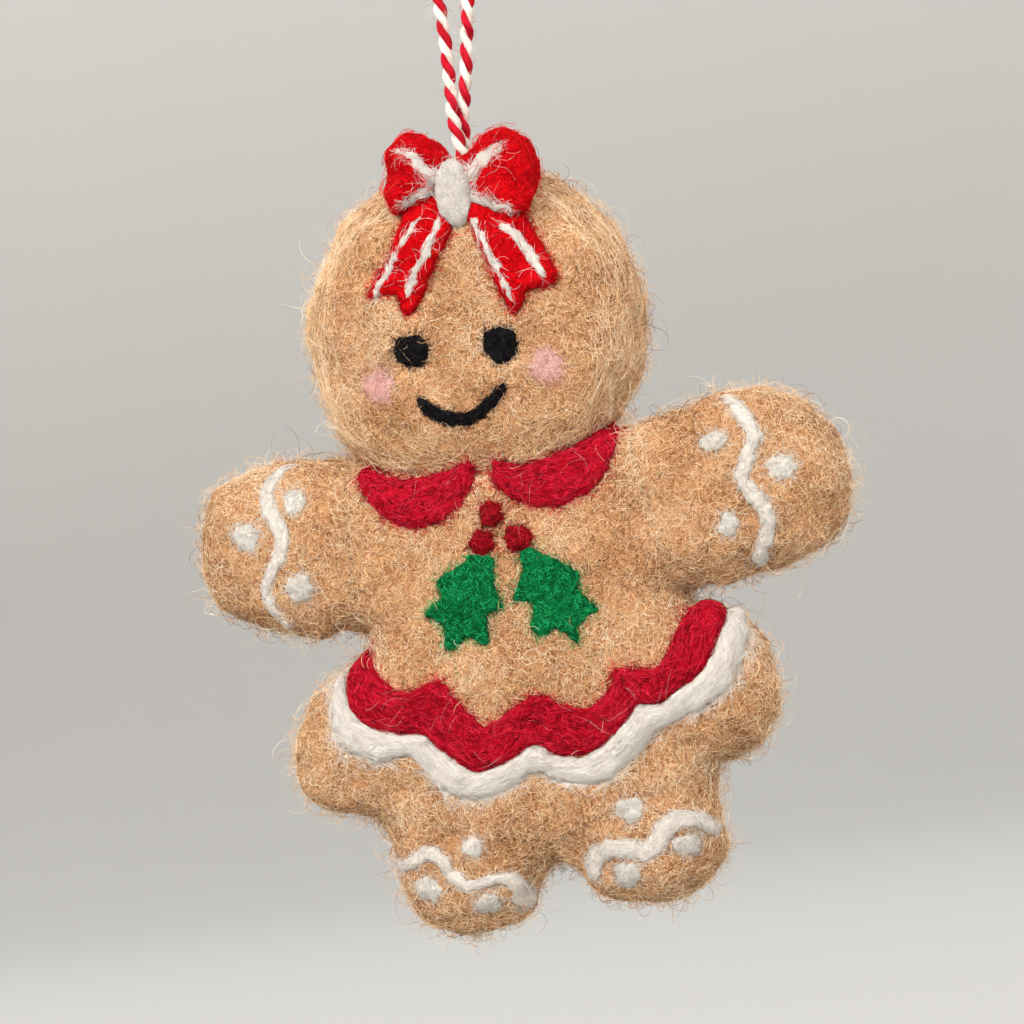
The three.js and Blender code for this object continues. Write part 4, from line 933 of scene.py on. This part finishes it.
def grow(start, field, k, length, curl, lift, dip, r, first=None, over=None, rise=None):
    """Strands that follow the surface, arching over it by lift and diving by dip at their ends."""
    p = field.project(start, 1)
    n = field.normal(p)
    t = tangent(n, r) if first is None else unit(first - n * (first * n).sum(1, keepdims=True))
    step = (length / (k - 1))[:, None]
    bend = r.normal(0, 1, len(p)) * curl
    rows = []
    for i in range(k):
        s = i / (k - 1)
        h = -dip + (lift + dip) * math.sin(math.pi * s) ** 0.7 if rise is None else rise(s, lift)
        if over is not None:
            h = h + np.maximum(over.height(p[:, 0], p[:, 2]), 0.0) * (p[:, 1] < 0)
        rows.append(p + n * np.broadcast_to(h, len(p))[:, None])
        a = ((bend + r.normal(0, 0.7, len(p)) * curl) * step[:, 0])[:, None]
        t = t * np.cos(a) + np.cross(n, t) * np.sin(a)
        p = p + t * step
        v, g = field.at(p)
        gg = np.maximum((g * g).sum(1), 0.05)
        p = p - g * np.clip(v / gg, -1.5, 1.5)[:, None]
        n = unit(g)
        t = unit(t - n * (t * n).sum(1, keepdims=True))
    return np.stack(rows, axis=1)


# where the appliques cover the front, for leaving out strands that nobody would see
cover_low, cover_step = np.array([-54.0, -64.0]), 0.25
cover = np.full((448, 508), -5.0)
for p in patches:
    if (p.field is TORSO or p.field is HEAD or p.field is WHOLE) and p.colour != "pink":
        x = p.low[0] + np.arange(p.d.shape[0]) * p.step
        z = p.low[1] + np.arange(p.d.shape[1]) * p.step
        ix = np.clip(np.round((x - cover_low[0]) / cover_step).astype(int), 0, cover.shape[0] - 1)
        iz = np.clip(np.round((z - cover_low[1]) / cover_step).astype(int), 0, cover.shape[1] - 1)
        cover[np.ix_(ix, iz)] = np.maximum(cover[np.ix_(ix, iz)], p.d)


def covered(p):
    i = np.clip(np.round((p[:, 0] - cover_low[0]) / cover_step).astype(int), 0, cover.shape[0] - 1)
    j = np.clip(np.round((p[:, 2] - cover_low[1]) / cover_step).astype(int), 0, cover.shape[1] - 1)
    return (cover[i, j] > 0.5) & (p[:, 1] < 0)


TAN_SHARE = np.array([0.16, 0.25, 0.24, 0.17, 0.11, 0.07])
tint = waves(41, 12.0)


def tan_index(p, r, lighter=0.0):
    """Shade of each strand; cloudy patches run lighter or darker. lighter moves the pick towards the pale shades; the
    two felt layers use it for painted highlight and painted shade.
    """
    u = np.clip(r.random(len(p)) - 0.10 * noise(p, tint) - lighter, 0, 0.9999)
    return np.searchsorted(np.cumsum(TAN_SHARE), u).clip(0, 5)


HEAD_MID = np.array([-1.0, 0.0, 33.0])
cheeks = [p for p in patches if p.colour == "pink"]
r = np.random.default_rng(501)
for k, (v, q) in pieces_mm.items():
    field, other = (HEAD, TORSO) if k == "head" else (TORSO, HEAD)
    for layer, (density, long, high, size) in {"under": (10.5, (0.7, 1.6), 0.06, (0.029, 0.043)), "over": (2.9, (1.5, 3.8), 0.14, (0.026, 0.04))}.items():
        s = scatter(v, q, density, r)
        keep = (np.abs(field.at(s)[0]) < 0.3) & (other.at(s)[0] > -0.5) & ~covered(s)
        for c in cheeks:
            keep &= ~((c.depth(s[:, 0], s[:, 2]) > -0.2) & (s[:, 1] < 0) & (r.random(len(s)) > 0.22))
        s = s[keep]
        n = field.normal(s)
        first = tangent(n, r)
        if k == "head":
            # strands wound round the head's rim
            d = s - HEAD_MID
            ring = unit(np.stack([-d[:, 2], 0 * d[:, 2], d[:, 0]], axis=1)) * r.choice([-1.0, 1.0], len(s))[:, None]
            w = (np.clip((0.86 - np.abs(n[:, 1])) / 0.35, 0, 1) * r.uniform(0.2, 1.0, len(s)) * 2.4)[:, None]
            first = unit(first + ring * w)
        lift = np.abs(r.normal(0, high, len(s))) + 0.02
        P_ = grow(s, field, 3 if layer == "under" else 5, r.uniform(*long, len(s)), 0.55, lift, 0.16, r, first)
        # the over layer takes paler tones as painted highlight and the under layer darker ones as painted shade, on
        # top of the wool's own range of tones
        strand_objects(f"{k}_{layer}_fibres", P_, r.uniform(*size, len(s)), tan_index(s, r, 0.10 if layer == "over" else -0.06), ["tan"], 601)

# dark strands as painted shade in the pits where the needle went in
r = np.random.default_rng(509)
for k, (v, q) in pieces_mm.items():
    field, other = (HEAD, TORSO) if k == "head" else (TORSO, HEAD)
    s = scatter(v, q, 0.85, r)
    s = s[(np.abs(field.at(s)[0]) < 0.3) & (other.at(s)[0] > -0.2) & ~covered(s)]
    P_ = grow(s, field, 4, r.uniform(0.25, 0.7, len(s)), 0.3, 0.07 + np.abs(r.normal(0, 0.05, len(s))), 0.03, r)
    strand_objects(f"{k}_specks", P_, r.uniform(0.04, 0.08, len(s)), r.choice([4, 5], len(s), p=[0.45, 0.55]), ["tan"], 614)

# long strands wound round the head's rim
r = np.random.default_rng(507)
s = scatter(*pieces_mm["head"], 1.7, r)
n = HEAD.normal(s)
keep = (TORSO.at(s)[0] > -0.2) & ~covered(s) & (r.random(len(s)) < np.clip((0.91 - np.abs(n[:, 1])) / 0.14, 0, 1))
s, n = s[keep], n[keep]
d = s - HEAD_MID
ring = unit(np.stack([-d[:, 2], 0 * d[:, 2], d[:, 0]], axis=1)) * r.choice([-1.0, 1.0], len(s))[:, None]
P_ = grow(s, HEAD, 8, r.uniform(4.0, 12.0, len(s)), 0.05, np.abs(r.normal(0, 0.10, len(s))) + 0.04, 0.15, r, unit(ring + 0.16 * tangent(n, r)))
i = np.where(r.random(len(s)) < 0.2, r.choice([3, 4], len(s)), r.choice([0, 1, 2], len(s)))
strand_objects("head_wound_fibres", P_, r.uniform(0.026, 0.042, len(s)), i, ["tan"], 611)

# loops and curls that stand off the body, thickest along the rim
r = np.random.default_rng(502)
far, far_i = [], []
for k, (v, q) in pieces_mm.items():
    field, other = (HEAD, TORSO) if k == "head" else (TORSO, HEAD)
    s = scatter(v, q, 0.62, r)
    n = field.normal(s)
    rim = np.clip((0.75 - np.abs(n[:, 1])) / 0.5, 0, 1)
    keep = (np.abs(field.at(s)[0]) < 0.35) & (other.at(s)[0] > 0.3) & ~covered(s) & (r.random(len(s)) < 0.16 + 0.84 * rim)
    s, rim = s[keep], rim[keep]
    lift = (0.1 + np.abs(r.normal(0, 0.75, len(s)))) * (0.45 + 0.9 * rim)
    far.append(grow(s, field, 10, r.uniform(2.0, 7.0, len(s)), 0.75, lift, 0.2, r))
    far_i.append(tan_index(s, r, 0.08))
P_ = np.concatenate(far)
strand_objects("stray_loops", P_, r.uniform(0.026, 0.042, len(P_)), np.concatenate(far_i), ["tan"], 602)


def fly(start, n, k, length, curl, r):
    """Free strands that leave the surface and curl in the air."""
    t = unit(n * r.uniform(0.25, 1.0, len(n))[:, None] + tangent(n, r))
    axis = unit(np.cross(t, r.normal(size=t.shape)))
    step = (length / (k - 1))[:, None]
    p = start - n * 0.3
    rows = []
    for i in range(k):
        rows.append(p)
        a = step * curl[:, None]
        t = unit(t * np.cos(a) + np.cross(axis, t) * np.sin(a))
        axis = unit(axis + 0.16 * r.normal(size=axis.shape))
        axis = unit(axis - t * (axis * t).sum(1, keepdims=True))
        p = p + t * step
    return np.stack(rows, axis=1)


r = np.random.default_rng(503)
far, far_i = [], []
for k, (v, q) in pieces_mm.items():
    field, other = (HEAD, TORSO) if k == "head" else (TORSO, HEAD)
    s = scatter(v, q, 0.85, r)
    n = field.normal(s)
    rim = np.clip((0.8 - np.abs(n[:, 1])) / 0.5, 0, 1)
    keep = (np.abs(field.at(s)[0]) < 0.35) & (other.at(s)[0] > 0.5) & ~covered(s) & (r.random(len(s)) < 0.10 + 0.9 * rim)
    s, n = s[keep], n[keep]
    far.append(fly(s, n, 14, np.abs(r.normal(0, 4.0, len(s))) + 1.3, r.uniform(0.25, 1.1, len(s)) * r.choice([-1, 1], len(s)), r))
    far_i.append(tan_index(s, r, -0.04))
    s = scatter(v, q, 0.12, r)
    n = field.normal(s)
    rim = np.clip((0.8 - np.abs(n[:, 1])) / 0.5, 0, 1)
    keep = (np.abs(field.at(s)[0]) < 0.35) & (other.at(s)[0] > 0.5) & ~covered(s) & (r.random(len(s)) < 0.25 + 0.75 * rim)
    s, n = s[keep], n[keep]
    far.append(fly(s, n, 14, r.uniform(4.0, 9.0, len(s)), r.uniform(0.8, 1.6, len(s)) * r.choice([-1, 1], len(s)), r))
    far_i.append(tan_index(s, r, 0.0))
P_ = np.concatenate(far)
strand_objects("stray_curls", P_, r.uniform(0.022, 0.038, len(P_)), np.concatenate(far_i), ["tan"], 603)

# strands of the coloured wool, a few crossing each edge
r = np.random.default_rng(504)
# how far strands lie with the shape, how long they are, how curly
LAY = {"skirt_trim_wool": (0.97, (2.5, 6.5), 0.10), "skirt_band_wool": (0.80, (1.4, 4.0), 0.30), "collar_left_wool": (0.80, (1.4, 4.0), 0.30),
       "collar_right_wool": (0.80, (1.4, 4.0), 0.30), "mouth_wool": (0.7, (0.8, 2.0), 0.4)}
by_colour = {}
for p in patches:
    tri = np.asarray(p.tri)
    s = scatter(p.top, tri, 13.0, r)
    d = p.depth(s[:, 0], s[:, 2])
    s = s[(d < 0.8) | (r.random(len(s)) < 0.75)]
    b, found = p.field.front(s[:, 0], s[:, 2])
    b[~found] = p.field.project(s[~found], 4)
    n = p.field.normal(b)
    along = p.beside_edge(s[:, 0], s[:, 2]) if p.line is None else p.beside_line(s[:, 0], s[:, 2])
    guide = np.stack([along[:, 0], 0 * along[:, 0], along[:, 1]], axis=1) * r.choice([-1.0, 1.0], len(s))[:, None]
    w, long, curl = LAY.get(p.name, (0.80 if p.line is not None else 0.50 if p.colour in ("white", "milk") else 0.30, (0.8, 2.1), 0.5))
    first = unit(tangent(n, r) * (1 - w) + guide * w)
    k = 8 if p.name == "skirt_trim_wool" else 5
    P_ = grow(b, p.field, k, r.uniform(*long, len(b)), curl, np.abs(r.normal(0, 0.07, len(b))) + 0.02, 0.12, r, first, over=p)
    by_colour.setdefault((p.colour, k), []).append(P_)
for (c, k), rows in by_colour.items():
    P_ = np.concatenate(rows)
    i = r.choice(3, len(P_), p=[0.28, 0.44, 0.28])
    strand_objects(f"{c}_fibres" if k == 5 else "skirt_trim_fibres", P_, r.uniform(0.028, 0.046, len(P_)), i, [c], 604)

# bow loops and knot
for name, c, field, mesh in [("bow_left_loop", "scarlet", LOOP["left"], loop_mesh["left"]), ("bow_right_loop", "scarlet", LOOP["right"], loop_mesh["right"]),
                             ("bow_knot", "white", KNOT_FIELD, (nv, nq))]:
    s = scatter(*mesh, 18.0 if c == "white" else 10.0, r)
    s = s[HEAD.at(s)[0] > -0.4]
    n = field.normal(s)
    P_ = grow(s, field, 5, r.uniform(1.0, 2.4, len(s)) * (1.4 if c == "white" else 1.0), 0.6, np.abs(r.normal(0, 0.08, len(s))) + 0.02, 0.12, r)
    strand_objects(f"{name}_fibres", P_, r.uniform(0.028, 0.046, len(s)), r.choice(3, len(s), p=[0.32, 0.44, 0.24]), [c], 605)
    s = scatter(*mesh, 0.5, r)
    s = s[HEAD.at(s)[0] > 0.2]
    P_ = grow(s, field, 12, r.uniform(3.0, 8.0, len(s)), 0.8, 0.15 + np.abs(r.normal(0, 0.45, len(s))), 0.2, r)
    strand_objects(f"{name}_stray", P_, r.uniform(0.028, 0.045, len(s)), r.choice(3, len(s), p=[0.4, 0.4, 0.2]), [c], 606)

# white strands from the knot out along the stripes, laid over whatever is in front
r = np.random.default_rng(508)
rays = []
for p in patches:
    if "_stripe_" not in p.name or p.name.endswith("outer_wool"):
        continue
    start, on = np.array(p.line[0]), p.line
    way = unit(start - KNOT_AT)
    arc = np.concatenate([[0], np.cumsum(np.linalg.norm(np.diff(on, axis=0), axis=1))])
    m = 46
    begin, run = r.uniform(0.9, 2.4, m), r.uniform(1.5, 4.5, m)
    shift, drift = r.normal(0, 0.42, m), r.normal(0, 0.10, m)
    row = []
    for k in np.linspace(0, 1, 9):
        a = begin + k * run
        b = np.stack([np.interp(np.clip(a, 0, None), arc, on[:, c]) for c in (0, 1)], axis=1) + way * np.minimum(a, 0)[:, None]
        b = b + np.array([-way[1], way[0]]) * (shift + drift * k * run + 0.18 * np.sin(5 * k + shift * 9))[:, None]
        front = np.full(m, 9.0)
        for field in (KNOT_FIELD, LOOP["left"], LOOP["right"], HEAD):
            q, found = field.front(b[:, 0], b[:, 1])
            front = np.minimum(front, np.where(found, q[:, 1], 9.0))
        front = front - np.maximum(p.height(b[:, 0], b[:, 1]), 0.0)
        row.append(np.stack([b[:, 0], front - 0.02 - 0.22 * math.sin(math.pi * k), b[:, 1]], axis=1))
    row = np.stack(row, axis=1)
    y = row[:, :, 1]
    row[:, 1:-1, 1] = np.minimum(y[:, 1:-1], (y[:, :-2] + y[:, 1:-1] + y[:, 2:]) / 3)
    rays.append(row)
def front_of(b):
    """Depth of whatever lies foremost over (x, z) at the bow."""
    front = np.full(len(b), 9.0)
    for field in (KNOT_FIELD, LOOP["left"], LOOP["right"], HEAD):
        q, found = field.front(b[:, 0], b[:, 1])
        front = np.minimum(front, np.where(found, q[:, 1], 9.0))
    return front


# fringe across the knot's edge
m = 340
a = r.uniform(0, 2 * np.pi, m)
ring = knot_line - knot_line.mean(0)
turn = np.arctan2(ring[:, 1], ring[:, 0])
order = np.argsort(turn)
edge = np.interp(a, turn[order], np.linalg.norm(ring, axis=1)[order], period=2 * np.pi)
begin, run, lean = edge * r.uniform(0.35, 0.95, m), r.uniform(1.0, 2.6, m), r.normal(0, 0.5, m)
row = []
for k in np.linspace(0, 1, 9):
    t = a + lean * k * run / edge
    b = knot_line.mean(0) + np.stack([np.cos(t), np.sin(t)], axis=1) * (begin + k * run)[:, None]
    row.append(np.stack([b[:, 0], front_of(b) + 0.05 - 0.2 * math.sin(math.pi * k), b[:, 1]], axis=1))
row = np.stack(row, axis=1)
for _ in range(2):
    y = row[:, :, 1]
    row[:, 1:-1, 1] = np.minimum(y[:, 1:-1], (y[:, :-2] + y[:, 1:-1] + y[:, 2:]) / 3)
rays.append(row)
P_ = np.concatenate(rays)
strand_objects("bow_knot_rays", P_, r.uniform(0.028, 0.045, len(P_)), r.choice(3, len(P_), p=[0.45, 0.4, 0.15]), ["white"], 612)

class Cap:
    """The stripe together with what it lies on."""

    def __init__(self, p):
        self.p = p

    def height(self, x, z):
        h = self.p.height(x, z)
        return h if self.p.under is None else np.maximum(h, self.p.under.height(x, z))


# wisps along the stripes, thinning out to both sides
rows = []
for p in patches:
    if "_stripe_" in p.name:
        m = int((5 if p.under is None else 2.6) * np.linalg.norm(np.diff(p.line, axis=0), axis=1).sum())
        at = r.integers(0, len(p.line), m)
        t = unit(np.gradient(p.line, axis=0))[at]
        q = p.line[at] + np.stack([-t[:, 1], t[:, 0]], axis=1) * r.normal(0, 0.40, m)[:, None]
        b, found = p.field.front(q[:, 0], q[:, 1])
        b, t = b[found], t[found] * r.choice([-1.0, 1.0], found.sum())[:, None]
        guide = np.stack([t[:, 0], 0 * t[:, 0], t[:, 1]], axis=1)
        first = unit(guide + 0.25 * tangent(p.field.normal(b), r))
        rows.append(grow(b, p.field, 8, r.uniform(1.6, 4.2, len(b)), 0.35, 0.05 + np.abs(r.normal(0, 0.08, len(b))), 0.08, r, first, over=Cap(p)))
P_ = np.concatenate(rows)
strand_objects("bow_stripe_wisps", P_, r.uniform(0.022, 0.036, len(P_)), r.choice([0, 1], len(P_)), ["white"], 615)

# thin white strands frayed from the stripes
rows = []
for p in patches:
    if "_stripe_" in p.name:
        s = scatter(p.top, np.asarray(p.tri), 0.40 if p.under is None else 0.06, r)
        b, found = p.field.front(s[:, 0], s[:, 2])
        b = b[found]
        rows.append(grow(b, p.field, 14, r.uniform(3.0, 9.0, len(b)), 0.65, 0.10 + np.abs(r.normal(0, 0.16, len(b))), 0.1, r, over=Cap(p)))
P_ = np.concatenate(rows)
strand_objects("bow_stripe_strays", P_, r.uniform(0.014, 0.024, len(P_)), r.choice([0, 1], len(P_)), ["white"], 613)

# fine strays lying over the colours
r = np.random.default_rng(505)
STRAY = {"scarlet": ("pink", 0.07), "crimson": ("pink", 0.06), "berry": ("pink", 0.06), "green": ("green", 0.2), "black": ("tan", 0.06)}
for colour, (shade, density) in STRAY.items():
    rows = []
    for p in patches:
        if p.colour != colour:
            continue
        s = scatter(p.top, np.asarray(p.tri), density, r)
        b, found = p.field.front(s[:, 0], s[:, 2])
        b = b[found]
        rows.append(grow(b, p.field, 12, r.uniform(3.0, 9.0, len(b)), 0.22, 0.05 + np.abs(r.normal(0, 0.08, len(b))), 0.1, r, over=p))
    P_ = np.concatenate(rows)
    strand_objects(f"{colour}_strays", P_, r.uniform(0.014, 0.022, len(P_)), r.choice([0, 1], len(P_)), [shade], 607)

# twine: fibres along each ply and a little fuzz
r = np.random.default_rng(506)
fuzz = []
for ply, colour in ((0, "twine_white"), (1, "twine_red")):
    n_ = 900
    s0 = r.uniform(1.0, TWINE_LEN - 6.0, n_)
    k = np.linspace(0, 1, 8)[None]
    s_ = s0[:, None] + k * r.uniform(1.5, 4.0, n_)[:, None]
    a_ = r.uniform(-2.2, 2.2, n_)[:, None] + k * r.normal(0.9, 0.5, n_)[:, None]
    lines, n3 = on_ply(ply, s_, a_)
    lines = lines + n3 * ((0.035 + 0.03 * r.random(n_))[:, None] * np.sin(np.pi * k) - 0.02)[..., None]
    i_ = r.choice(3, n_, p=[0.35, 0.4, 0.25])
    fuzz += strand_objects(f"{colour}_fibres", lines, r.uniform(0.03, 0.05, n_), i_, [colour], 608 + ply, body=None)
    n_ = 170
    at, n3 = on_ply(ply, r.uniform(8.0, TWINE_LEN - 8.0, n_), r.uniform(-1.8, 1.8, n_))
    lines = fly(at + n3 * 0.25, n3, 9, r.uniform(0.9, 2.6, n_), r.uniform(0.2, 1.0, n_) * r.choice([-1, 1], n_), r)
    fuzz += strand_objects(f"{colour}_fuzz", lines, r.uniform(0.016, 0.026, n_), r.choice(3, n_), [colour], 610 + ply, body=None)
for ob in fuzz:
    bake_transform(ob)


# ---------------------------------------------------------------------------
# Stage: a pale bowl-shaped backdrop and soft light
# ---------------------------------------------------------------------------
def stage():
    floor, radius, fillet, top = -0.285, 3.4, 1.4, 2.9
    prof = [(r, floor) for r in np.linspace(0.0, radius - fillet, 8)[1:]]
    prof += [(radius - fillet + fillet * math.sin(a), floor + fillet - fillet * math.cos(a)) for a in np.linspace(0, math.pi / 2, 14)[1:]]
    prof += [(radius, floor + fillet + k * (top - fillet) / 3) for k in (1, 2, 3)]
    n = 72
    verts = [(0.0, 0.0, floor)]
    faces = []
    for r, z in prof:
        verts += [(r * math.cos(2 * math.pi * k / n), r * math.sin(2 * math.pi * k / n), z) for k in range(n)]
    for k in range(n):
        faces.append((0, 1 + k, 1 + (k + 1) % n))
    for i in range(len(prof) - 1):
        for k in range(n):
            a, b = 1 + i * n + k, 1 + i * n + (k + 1) % n
            faces.append((a, a + n, b + n, b))
    me = bpy.data.meshes.new("backdrop")
    me.from_pydata(verts, [], faces)
    me.polygons.foreach_set("use_smooth", [True] * len(me.polygons))
    m = bpy.data.materials.new("backdrop_paper")
    m.use_nodes = True
    b = m.node_tree.nodes["Principled BSDF"]
    # a little darker on the floor, where more light falls
    nt = m.node_tree
    tex, cut, ramp = (nt.nodes.new(k) for k in ("ShaderNodeTexCoord", "ShaderNodeSeparateXYZ", "ShaderNodeMapRange"))
    mix = nt.nodes.new("ShaderNodeMix")
    mix.data_type = "RGBA"
    ramp.inputs["From Min"].default_value, ramp.inputs["From Max"].default_value = floor, 0.3
    mix.inputs["A"].default_value, mix.inputs["B"].default_value = (0.46, 0.455, 0.44, 1), (0.74, 0.73, 0.71, 1)
    nt.links.new(tex.outputs["Object"], cut.inputs["Vector"])
    nt.links.new(cut.outputs["Z"], ramp.inputs["Value"])
    nt.links.new(ramp.outputs["Result"], mix.inputs["Factor"])
    nt.links.new(mix.outputs["Result"], b.inputs["Base Color"])
    b.inputs["Roughness"].default_value = 0.95
    b.inputs["Specular IOR Level"].default_value = 0.1
    me.materials.append(m)
    ob = bpy.data.objects.new("backdrop", me)
    bpy.context.scene.collection.objects.link(ob)


def area(name, at, size, power, colour=(1, 1, 1), look=(0, 0, -0.11), spread=180.0):
    d = bpy.data.lights.new(name, "AREA")
    d.shape, d.size, d.energy, d.color, d.spread = "DISK", size, power, colour, math.radians(spread)
    ob = bpy.data.objects.new(name, d)
    ob.location = at
    ob.rotation_euler = (Vector(look) - Vector(at)).to_track_quat("-Z", "Y").to_euler()
    bpy.context.scene.collection.objects.link(ob)


stage()
area("key", (-0.9, -1.65, 1.15), 0.55, 42.0, (1.0, 0.965, 0.92))
area("top_front", (0.2, -1.1, 0.75), 0.35, 0.16, (1.0, 0.97, 0.93), (0, 0, -0.02), 22.0)
area("fill", (1.35, -1.6, 0.6), 1.2, 17.5, (1.0, 0.97, 0.94))
area("back_left", (-1.1, 1.5, 1.0), 1.1, 17.0)
area("back_right", (1.3, 1.3, 0.9), 1.1, 15.0)
world = bpy.data.worlds.new("studio")
world.use_nodes = True
world.node_tree.nodes["Background"].inputs["Color"].default_value = (1.0, 0.99, 0.97, 1)
world.node_tree.nodes["Background"].inputs["Strength"].default_value = 0.8
bpy.context.scene.world = world

path_m = [tuple(map(float, p)) for p in to_frame(route)]
